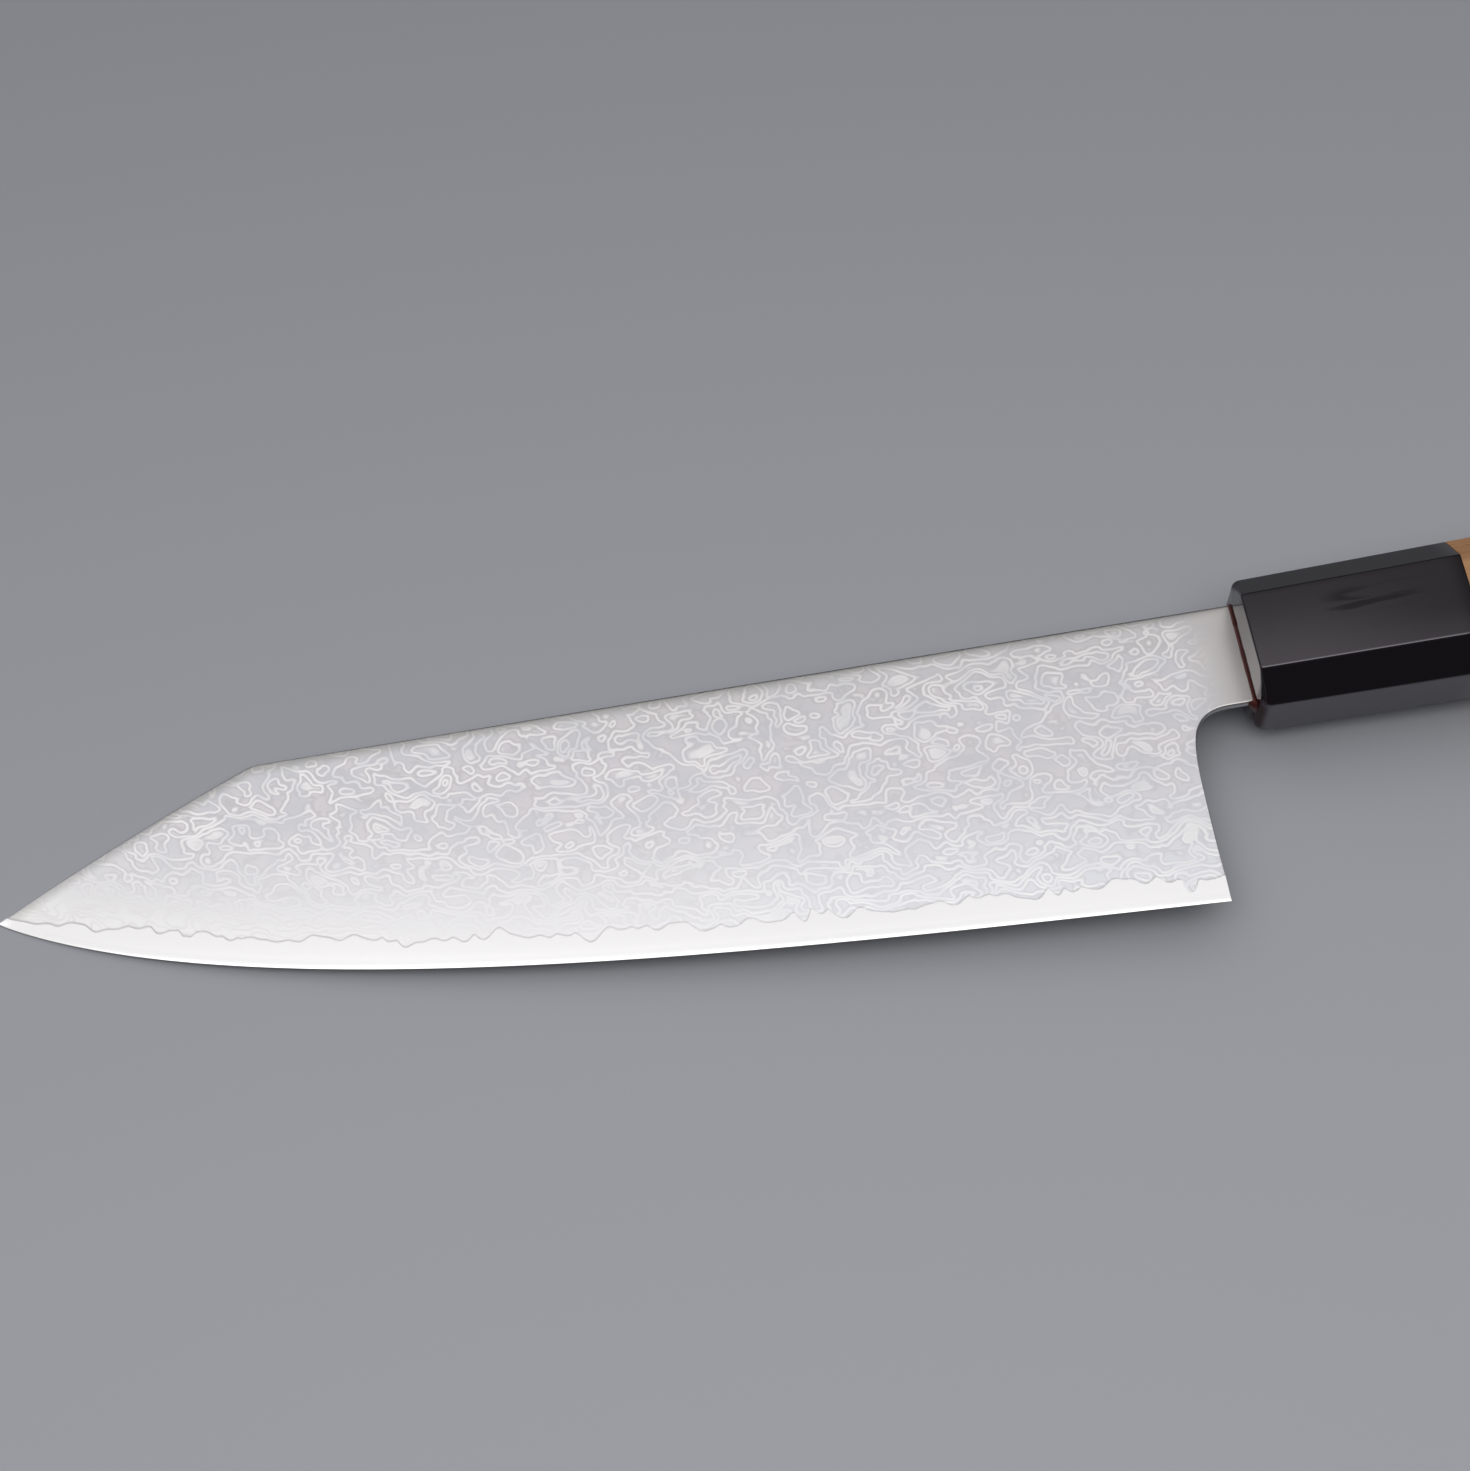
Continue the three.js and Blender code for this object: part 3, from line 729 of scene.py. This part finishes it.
class Finish:
    """A material under construction. Inputs are given by name, as values or as sockets to link from."""

    def __init__(self, name):
        self.material = bpy.data.materials.new(name)
        self.material.use_nodes = True
        self.tree = self.material.node_tree
        self.shader = self.tree.nodes["Principled BSDF"]

    def give(self, socket, value):
        """Links a socket to another, or sets its own value."""
        if isinstance(value, bpy.types.NodeSocket):
            self.tree.links.new(value, socket)
        else:
            socket.default_value = value

    def add(self, kind, settings=None, **inputs):
        """A new node with its settings and inputs, where an underscore stands for a space in a name."""
        node = self.tree.nodes.new("ShaderNode" + kind)
        for name, value in (settings or {}).items():
            setattr(node, name, value)
        for name, value in inputs.items():
            self.give(node.inputs[name.replace("_", " ")], value)
        return node

    def math(self, operation, a, b=0.0, clamp=False):
        """One step of reckoning on two numbers, held between 0 and 1 where clamp is set."""
        node = self.add("Math", {"operation": operation, "use_clamp": clamp})
        self.give(node.inputs[0], a)
        self.give(node.inputs[1], b)
        return node.outputs[0]

    def times(self, a, b):
        """The product of two numbers."""
        return self.math("MULTIPLY", a, b)

    def away(self, value, centre):
        """How far a value is from a centre, on either side."""
        return self.math("ABSOLUTE", self.math("SUBTRACT", value, centre))

    def vector_math(self, operation, a, b):
        """One step of reckoning on two vectors, with both its results."""
        node = self.add("VectorMath", {"operation": operation})
        self.give(node.inputs[0], a)
        self.give(node.inputs[1], b)
        return node.outputs

    def share(self, value, low, high, start=0.0, end=1.0):
        """Goes smoothly from start where the value is low to end where it is high."""
        node = self.add("MapRange", {"interpolation_type": "SMOOTHSTEP"}, Value=value)
        node.inputs["From Min"].default_value = low
        node.inputs["From Max"].default_value = high
        self.give(node.inputs["To Min"], start)
        self.give(node.inputs["To Max"], end)
        return node.outputs["Result"]

    def fade(self, value, low, high):
        """Goes smoothly from 1 where the value is low to 0 where it is high."""
        return self.share(value, low, high, 1.0, 0.0)

    def blend(self, mask, start, end):
        """Goes smoothly from start where the mask is 0 to end where it is 1."""
        return self.share(mask, 0, 1, start, end)

    def mix(self, share, a, b):
        """Colour a where the share is 0, and colour b where it is 1."""
        node = self.add("Mix", {"data_type": "RGBA"})
        self.give(node.inputs[0], share)
        self.give(node.inputs[6], a)
        self.give(node.inputs[7], b)
        return node.outputs[2]

    def parts(self, vector):
        """X, Y and Z of a vector."""
        return self.add("SeparateXYZ", Vector=vector).outputs

    def pattern(self):
        """The values that are kept with the points of a piece."""
        return self.add("Attribute", {"attribute_name": "pattern"}).outputs["Vector"]

    def below_spine(self):
        """The distance below the spine that is kept with the points."""
        return self.add("Attribute", {"attribute_name": "below_spine"}).outputs["Fac"]

    def scaled(self, vector, scale):
        """A place to read noise at: each part of the vector times its own scale."""
        return self.add("Mapping", Vector=vector, Scale=scale).outputs[0]

    def noise(self, vector, detail, roughness=0.5, distortion=0.0):
        """Smooth noise whose lumps are about 1 across, with finer ones added to it."""
        node = self.add("TexNoise", Vector=vector, Scale=1.0, Detail=detail, Roughness=roughness)
        node.inputs["Distortion"].default_value = distortion
        return node.outputs["Fac"]

    def bump(self, height, distance, strength):
        """A raised surface, with the distance in millimetres."""
        node = self.add("Bump", Height=height, Distance=distance / 1000, Strength=strength)
        return node.outputs[0]

    def surface(self, **inputs):
        """Gives the shader its inputs. The finish is then complete."""
        for name, value in inputs.items():
            self.give(self.shader.inputs[name.replace("_", " ")], value)
        return self.material


# The etched layers: the length and height of their rings, how far from the edge their field slopes and
# by how much, the step over which its steepness is found, the least that this may be, and how many lines
# a rise of 1 makes
RING_LENGTH = 4.3
RING_HEIGHT = 3.0
SLOPE_REACH = 28.0
SLOPE_RISE = 1.8
FIELD_STEP = 0.08
LEAST_STEEPNESS = 0.05
LINES_PER_FIELD = 7.4

# Colours of the layered steel: its ground, its lines and its painted shade
COOL_GROUND = (0.52, 0.515, 0.545, 1)
WARM_GROUND = (0.565, 0.54, 0.56, 1)
WORN_GROUND = (0.64, 0.63, 0.645, 1)
WORN_HEEL_GROUND = (0.625, 0.628, 0.662, 1)
LOW_TIP_GROUND = (0.7, 0.69, 0.69, 1)
BRIGHT_LINE = (0.675, 0.66, 0.67, 1)
WORN_LINE = (0.72, 0.71, 0.715, 1)
CRISP_LINE = (0.735, 0.722, 0.722, 1)
LOW_TIP_LINE = (0.47, 0.455, 0.45, 1)
# Painted shade beside the raised lines
LINE_FLANK_SHADE = (0.45, 0.44, 0.455, 1)
# Painted shadow along the clad line's step
CLAD_RIM_SHADOW = (0.42, 0.41, 0.41, 1)
# Painted shade below the spine, for the darker reflection there, broad and then stronger at its border
PAINTED_SPINE_SHADE = (0.36, 0.345, 0.34, 1)
PAINTED_SPINE_BORDER_SHADE = (0.32, 0.312, 0.302, 1)
# The neck's plain warm grey, with painted shade for the ferrule's dark reflection
NECK_GREY_AND_SHADE = (0.42, 0.4, 0.39, 1)

# The polished core: where along the edge its painted shade is darkest, and its colours along the edge and
# on the rest of the bare strip, with painted light towards the heel
EDGE_MIDDLE_ALONG = 85.0
EDGE_MIDDLE_SHADE = (0.6, 0.592, 0.594, 1)
EDGE_ENDS = (0.71, 0.7, 0.702, 1)
STRIP_FRONT = (0.735, 0.724, 0.726, 1)
STRIP_HEEL_LIGHT = (0.775, 0.763, 0.765, 1)

# The ferrule: where its dull streak lies, its levels of gloss, its roughness and its colours
STREAK_X = 19.0
STREAK_Y = 2.2
FULL_GLOSS = 1.0
NEAR_SIDE_GLOSS = 0.8
CHAMFER_GLOSS = 0.58
FAR_GLOSS = 0.25
STREAK_GLOSS = 0.2
SMEAR_GLOSS = 0.15
POLISHED_ROUGHNESS = 0.08
STREAK_ROUGHNESS = 0.26
FERRULE_BLACK = (0.0065, 0.0055, 0.0065, 1)
# Painted sheen on the near side, for the table's reflection
FERRULE_NEAR_SHEEN = (0.07, 0.066, 0.072, 1)
RESIN_SMEAR = (0.03, 0.006, 0.009, 1)
FERRULE_TINT = (0.98, 0.9, 1.0, 1)

# Colours of the grip's wood
EARLY_WOOD = (0.48, 0.24, 0.1, 1)
LATE_WOOD = (0.2, 0.085, 0.03, 1)
WOOD_PORE = (0.06, 0.027, 0.012, 1)
# Its yearly layers: how far the pith lies to the side and below, a layer's width, and their wandering
PITH_SIDE = 9.0
PITH_DEPTH = 31.0
LAYER_WIDTH = 2.1
LAYER_WANDER = 2.4

# Colours of the resin bead
DARK_RESIN = (0.04, 0.012, 0.009, 1)
RED_RESIN = (0.13, 0.03, 0.026, 1)

# Colours of what is hidden in the handle: the dowel and the tang's bedding
PALE_PEG = (0.52, 0.36, 0.19, 1)
DARK_PEG = (0.36, 0.22, 0.1, 1)
PALE_BEDDING = (0.62, 0.5, 0.27, 1)
DARK_BEDDING = (0.5, 0.38, 0.18, 1)


def layered_steel(name, seed):
    """Etched layers of two steels: raised pale lines of one width along the contours of a field of noise.
    High on the blade the contours close into rings, with filled islands on the field's peaks and a
    darker flank on both sides of a line, which is painted shade beside the raised line. Towards the edge
    the field slopes, and they run along the edge.
    A line's distance is the field's difference from its level over the field's steepness, found by small
    steps. Lines are crisper near the spine and worn near the edge. Low near the point they are darker
    than their ground. A painted shadow darkens the steel along the clad line's step, and painted shade
    darkens it below the spine for the darker reflection there. The neck has no lines; its plain warm grey
    darkens towards the ferrule with painted shade for the ferrule's dark reflection."""
    f = Finish(name)
    along, height, above = f.parts(f.pattern())
    below_spine = f.below_spine()
    flat = f.add("CombineXYZ", X=along, Y=height, Z=seed).outputs[0]

    def waves(place):
        """The noise whose contours are the rings."""
        ringed = f.scaled(place, (1 / RING_LENGTH, 1 / RING_HEIGHT, 1))
        return f.noise(ringed, detail=1.3, roughness=0.35, distortion=0.3)

    def field(shift):
        """The noise plus a slope that grows with the square of the nearness to the edge."""
        place = f.vector_math("ADD", flat, shift)["Vector"]
        from_edge = f.parts(place)[1]
        low = f.math("SUBTRACT", 1.0, f.math("DIVIDE", from_edge, SLOPE_REACH), True)
        return f.math("ADD", waves(place), f.times(f.times(low, low), SLOPE_RISE))

    here = field((0, 0, 0))
    aside = f.add("CombineXYZ", X=field((FIELD_STEP, 0, 0)), Y=field((0, FIELD_STEP, 0))).outputs[0]
    both = f.add("CombineXYZ", X=here, Y=here).outputs[0]
    change = f.vector_math("DISTANCE", aside, both)["Value"]
    steepness = f.math("MAXIMUM", f.math("DIVIDE", change, FIELD_STEP), LEAST_STEEPNESS)
    phase = f.math("FRACT", f.times(here, LINES_PER_FIELD))
    off_level = f.math("DIVIDE", f.away(phase, 0.5), LINES_PER_FIELD)
    distance = f.math("DIVIDE", off_level, steepness)

    islands = f.share(waves(flat), 0.67, 0.71, 0.0, 0.85)
    lines = f.math("MAXIMUM", f.fade(distance, 0.03, 0.3), islands)
    # Painted shade on both sides of a raised line
    flank_shade = f.times(f.share(distance, 0.18, 0.34), f.share(distance, 0.38, 0.75, 0.36, 0.0))
    drift = f.noise(f.scaled(flat, (1 / 5, 1 / 4, 2)), detail=1.0)
    uneven = f.share(drift, 0.35, 0.6, 0.55, 1.0)
    least_depth = f.share(along, 80, 165, 0.35, 1.0)
    worn = f.share(height, 5, 22, least_depth, 1.0)
    off_neck = f.fade(along, EDGE_LENGTH + 1, EDGE_LENGTH + 7)
    depth = f.times(f.times(uneven, worn), off_neck)
    lines = f.times(lines, depth)

    low_on_blade = f.fade(height, 3, 28)
    ground = f.mix(f.share(drift, 0.35, 0.65), COOL_GROUND, WARM_GROUND)
    worn_ground = f.mix(f.share(along, 95, 145), WORN_GROUND, WORN_HEEL_GROUND)
    ground = f.mix(low_on_blade, ground, worn_ground)
    bright = f.mix(low_on_blade, BRIGHT_LINE, WORN_LINE)
    crisp = f.fade(below_spine, 4, 18)
    bright = f.mix(crisp, bright, CRISP_LINE)
    flank_shade = f.times(flank_shade, f.blend(crisp, 1.0, 1.7))
    ground = f.mix(f.times(flank_shade, depth), ground, LINE_FLANK_SHADE)
    low_tip = f.times(f.fade(along, 15, 110), f.fade(height, 3, 12))
    ground = f.mix(low_tip, ground, LOW_TIP_GROUND)
    bright = f.mix(low_tip, bright, LOW_TIP_LINE)
    colour = f.mix(lines, ground, bright)

    # Painted shadow along the clad line's step
    rim_shadow_strength = f.share(along, 60, 130, 1.0, 0.8)
    colour = f.mix(f.share(above, 0.1, 0.5, rim_shadow_strength, 0.0), colour, CLAD_RIM_SHADOW)
    # Painted shade below the spine, for its darker reflection: a broad band, then a stronger one at the
    # border
    spine_shade_strength = f.share(along, 60, 110, 0.0, 0.24)
    colour = f.mix(f.share(below_spine, 1, 11, spine_shade_strength, 0.0), colour, PAINTED_SPINE_SHADE)
    border_shade_strength = f.share(along, 8, 45, 0.5, 0.74)
    colour = f.mix(f.share(below_spine, 0.2, 2.3, border_shade_strength, 0.0), colour, PAINTED_SPINE_BORDER_SHADE)
    # The neck's plain warm grey, darkening towards the ferrule as painted shade for the ferrule's dark
    # reflection
    on_neck = f.share(along, EDGE_LENGTH, EDGE_LENGTH + NECK_LENGTH)
    colour = f.mix(on_neck, colour, NECK_GREY_AND_SHADE)
    return f.surface(
        Base_Color=colour,
        Metallic=1.0,
        Roughness=0.29,
        Normal=f.bump(lines, distance=0.02, strength=0.4),
    )


def core_steel():
    """Bright polished steel, brighter towards the heel as painted light, and a little darker along the
    edge, most of all in the edge's middle, where the darkening is painted shade against the lamp's
    reflection."""
    f = Finish("polished_core_steel")
    along, height, _ = f.parts(f.pattern())
    # Painted shade along the edge, deepest in its middle
    edge = f.mix(f.share(f.away(along, EDGE_MIDDLE_ALONG), 30, 90), EDGE_MIDDLE_SHADE, EDGE_ENDS)
    # Painted light on the strip towards the heel
    strip = f.mix(f.share(along, 115, 175), STRIP_FRONT, STRIP_HEEL_LIGHT)
    colour = f.mix(f.share(height, 0.1, 1.8), edge, strip)
    return f.surface(Base_Color=colour, Metallic=1.0, Roughness=0.2)


def black_ferrule():
    """Polished black, greyed on the near side as painted sheen for the table's reflection. On the broad
    flats the gloss falls towards the far side and towards the grip, and one feathery streak is dull. The
    far chamfer is duller, the near ridge and the front face are glossier, and resin is smeared below the
    neck.
    A clear coat lies on the front face."""
    f = Finish("polished_black_ferrule")
    place = f.pattern()
    x, y, z = f.parts(place)
    thick = f.math("ABSOLUTE", z)
    fibres = f.noise(f.scaled(place, (1 / 9, 1 / 0.9, 1 / 0.9)), detail=3.0, roughness=0.55)
    streak = f.times(f.fade(f.away(x, STREAK_X), 3, 10), f.fade(f.away(y, STREAK_Y), 0.8, 3.0))
    dull = f.times(streak, f.share(fibres, 0.4, 0.6))
    near_side = f.times(f.fade(y, -9.6, -9.0), f.fade(thick, 4.3, 4.7))
    smear = f.times(f.fade(y, -8.6, -7.4), f.fade(x, 0.3, 1.5))
    smear = f.times(smear, f.fade(thick, 2.6, 5.6))

    by_front = f.share(y, -6.0, 5.4, 0.72, 0.36)
    by_grip = f.share(y, -6.0, -1.0, 0.46, 0.28)
    on_flats = f.share(x, 4, 33, by_front, by_grip)
    gloss = f.share(y, -6.6, -6.2, f.blend(near_side, CHAMFER_GLOSS, NEAR_SIDE_GLOSS), on_flats)
    gloss = f.blend(dull, gloss, STREAK_GLOSS)
    gloss = f.share(y, 5.2, 6.2, gloss, FAR_GLOSS)
    front_ridge = HANDLE_FRONT_CHAMFER - HANDLE_FRONT_HEIGHT / 2
    butt_ridge = HANDLE_BUTT_CHAMFER - HANDLE_BUTT_HEIGHT / 2
    ridge_slope = (butt_ridge - front_ridge) / HANDLE_LENGTH
    ridge = f.math("ADD", f.times(x, ridge_slope), front_ridge)
    gloss = f.share(f.away(y, ridge), 0.14, 0.3, FULL_GLOSS, gloss)
    gloss = f.share(x, 0.05, 0.3, FULL_GLOSS, gloss)
    gloss = f.blend(smear, gloss, SMEAR_GLOSS)

    beside_neck = f.share(y, -6, 5, 1.0, 0.25)
    coat = f.share(y, -8.2, -7.2, 0.0, beside_neck)
    # Painted sheen: the near side greyed for the table's reflection
    colour = f.mix(near_side, FERRULE_BLACK, FERRULE_NEAR_SHEEN)
    return f.surface(
        Base_Color=f.mix(smear, colour, RESIN_SMEAR),
        Roughness=f.blend(dull, POLISHED_ROUGHNESS, STREAK_ROUGHNESS),
        Specular_IOR_Level=gloss,
        Specular_Tint=FERRULE_TINT,
        Coat_Weight=f.share(x, 0.05, 0.3, coat, 0.0),
        Coat_Roughness=POLISHED_ROUGHNESS,
    )


def grip_wood():
    """Straight-grained wood: yearly layers about a pith beside the handle, fibres and pores along it.
    A layer's phase is the distance from the pith over the layer's width, shifted by slow noise."""
    f = Finish("brown_grip_wood")
    place = f.pattern()
    _, y, z = f.parts(place)
    warp = f.noise(f.scaled(place, (1 / 70, 1 / 9, 1 / 9)), detail=2.0)
    side = f.math("ADD", y, PITH_SIDE)
    depth = f.math("ADD", z, PITH_DEPTH)
    reach = f.math("SQRT", f.math("ADD", f.times(side, side), f.times(depth, depth)))
    turns = f.math("ADD", f.math("DIVIDE", reach, LAYER_WIDTH), f.times(warp, LAYER_WANDER))
    late = f.share(f.math("FRACT", turns), 0.45, 0.95)
    fibre = f.noise(f.scaled(place, (1 / 24, 1 / 0.45, 1 / 0.45)), detail=3.0, roughness=0.6)
    pores = f.noise(f.scaled(place, (1 / 4.5, 1 / 0.24, 1 / 0.24)), detail=1.0)
    pores = f.share(pores, 0.6, 0.7)
    tone = f.math("ADD", f.times(late, 0.55), f.times(fibre, 0.6), True)
    colour = f.mix(tone, EARLY_WOOD, LATE_WOOD)
    colour = f.mix(f.times(pores, 0.75), colour, WOOD_PORE)
    height = f.math("SUBTRACT", f.times(fibre, 0.4), pores)
    return f.surface(
        Base_Color=colour,
        Roughness=f.blend(tone, 0.42, 0.55),
        Normal=f.bump(height, distance=0.03, strength=0.35),
    )


def seal_resin():
    """Dark red-brown resin, uneven in colour."""
    f = Finish("maroon_seal_resin")
    drift = f.noise(f.scaled(f.pattern(), (1 / 2, 1 / 3, 1 / 3)), detail=2.0)
    return f.surface(Base_Color=f.mix(drift, DARK_RESIN, RED_RESIN), Roughness=0.25)


def plain_inner(name, pale, dark, scale):
    """A finish for what is hidden in the handle, with streaks along it."""
    f = Finish(name)
    place = f.add("TexCoord").outputs["Object"]
    drift = f.noise(f.scaled(place, scale), detail=3.0)
    return f.surface(Base_Color=f.mix(drift, pale, dark), Roughness=0.6)


# Stage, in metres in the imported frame

TABLE_HALF = 20.0
# The table's colour near the viewer and far from it; the change between them is painted shade for the
# light's falloff
TABLE_NEAR_LIT = (0.4, 0.406, 0.441, 1)
TABLE_FAR_SHADED = (0.27, 0.285, 0.311, 1)
TABLE_SHADING = (-0.15, 0.3)

DOME_AXIS = (-0.16, 0.26, 0.95)
DOME_RANGE = (0.44, 1.0)
DOME_STRENGTH = (0.065, 1.12)

LAMP_PLACE = (-0.04, -0.12, 0.55)
LAMP_WIDTH = 0.7
LAMP_DEPTH = 0.3
LAMP_RADIANCE = 1.6

# The camera's angles are in degrees, below the level and about the vertical, and its sensor is in
# millimetres. The focal length and the longer side of the image are in pixels
CAMERA_PLACE = (-0.0741743, -0.136199, 0.3530722)
CAMERA_DIP = 66.4
CAMERA_TURN = -9.33
SENSOR_WIDTH = 36.0
FOCAL_PIXELS = 2531
IMAGE_PIXELS = 1471
NEAREST_SEEN = 0.01


def table_top():
    """A pale table, a little darker away from the viewer, which is painted shade for the light's falloff.
    """
    f = Finish("table_with_painted_falloff")
    away = f.parts(f.add("TexCoord").outputs["Object"])[1]
    return f.surface(
        Base_Color=f.mix(f.share(away, *TABLE_SHADING), TABLE_NEAR_LIT, TABLE_FAR_SHADED),
        Roughness=0.5,
        Specular_IOR_Level=0.2,
    )


def lay_table():
    """A flat square under the knife."""
    half = TABLE_HALF
    mesh = bpy.data.meshes.new("table")
    corners = [(-half, -half, 0), (half, -half, 0), (half, half, 0), (-half, half, 0)]
    mesh.from_pydata(corners, [], [(0, 1, 2, 3)])
    mesh.materials.append(table_top())
    table = bpy.data.objects.new("table", mesh)
    bpy.context.scene.collection.objects.link(table)


def light_dome():
    """Soft light about an axis near the vertical, which fades towards the horizon."""
    world = bpy.data.worlds.new("soft_dome")
    bpy.context.scene.world = world
    world.use_nodes = True
    tree = world.node_tree
    place = tree.nodes.new("ShaderNodeTexCoord")
    lean = tree.nodes.new("ShaderNodeVectorMath")
    lean.operation = "DOT_PRODUCT"
    lean.inputs[1].default_value = DOME_AXIS
    fall = tree.nodes.new("ShaderNodeMapRange")
    fall.interpolation_type = "SMOOTHSTEP"
    fall.inputs["From Min"].default_value, fall.inputs["From Max"].default_value = DOME_RANGE
    fall.inputs["To Min"].default_value, fall.inputs["To Max"].default_value = DOME_STRENGTH
    sky = tree.nodes["Background"]
    sky.inputs["Color"].default_value = (1, 1, 1, 1)
    tree.links.new(place.outputs["Generated"], lean.inputs[0])
    tree.links.new(lean.outputs["Value"], fall.inputs["Value"])
    tree.links.new(fall.outputs["Result"], sky.inputs["Strength"])


def hang_softbox():
    """A broad lamp that faces the middle of the table. Its power is radiance times area times pi."""
    lamp = bpy.data.lights.new("softbox", "AREA")
    lamp.shape = "RECTANGLE"
    lamp.size = LAMP_WIDTH
    lamp.size_y = LAMP_DEPTH
    lamp.energy = LAMP_RADIANCE * LAMP_WIDTH * LAMP_DEPTH * math.pi
    holder = bpy.data.objects.new("softbox", lamp)
    holder.location = LAMP_PLACE
    holder.rotation_euler = (-Vector(LAMP_PLACE)).to_track_quat("-Z", "Y").to_euler()
    bpy.context.scene.collection.objects.link(holder)


def set_camera():
    """The viewpoint, with no roll and no shift."""
    lens = bpy.data.cameras.new("camera")
    lens.sensor_width = SENSOR_WIDTH
    lens.lens = SENSOR_WIDTH * FOCAL_PIXELS / IMAGE_PIXELS
    lens.clip_start = NEAREST_SEEN
    camera = bpy.data.objects.new("camera", lens)
    camera.location = CAMERA_PLACE
    camera.rotation_euler = (math.radians(90 - CAMERA_DIP), 0, math.radians(CAMERA_TURN))
    bpy.context.scene.collection.objects.link(camera)
    bpy.context.scene.camera = camera


# Assembly

# What sets the pattern of one cladding apart from the other's
PATTERN_SEED = 37.0

set_camera()
lay_table()
light_dome()
hang_softbox()

for side, name in ((1, "left_cladding"), (-1, "right_cladding")):
    rings, above = cladding_rings(side)
    steel = layered_steel(f"layered_steel_{name}", PATTERN_SEED * side)
    make_piece(f"{name}_skin", rings, blade_values(rings, above), steel, name)
rings, above = core_rings()
make_piece("core_blade", rings, blade_values(rings, above), core_steel(), "blade_core")
rings = ferrule_rings()
make_piece("ferrule_body", rings, rings, black_ferrule(), "ferrule", looped=True)
rings = grip_rings()
make_piece("grip_body", rings, rings, grip_wood(), "grip")
rings = seal_rings()
make_piece("seal_bead", rings, rings, seal_resin(), "mouth_seal", looped=True)

inner_finishes = {
    "dowel": plain_inner("dowel_wood", PALE_PEG, DARK_PEG, (40, 900, 900)),
    "tang_bedding": plain_inner("bedding_resin", PALE_BEDDING, DARK_BEDDING, (90, 90, 90)),
}
for name, finish in inner_finishes.items():
    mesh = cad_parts[name].data
    mesh.materials.clear()
    mesh.materials.append(finish)

bpy.context.scene.view_settings.view_transform = "Standard"
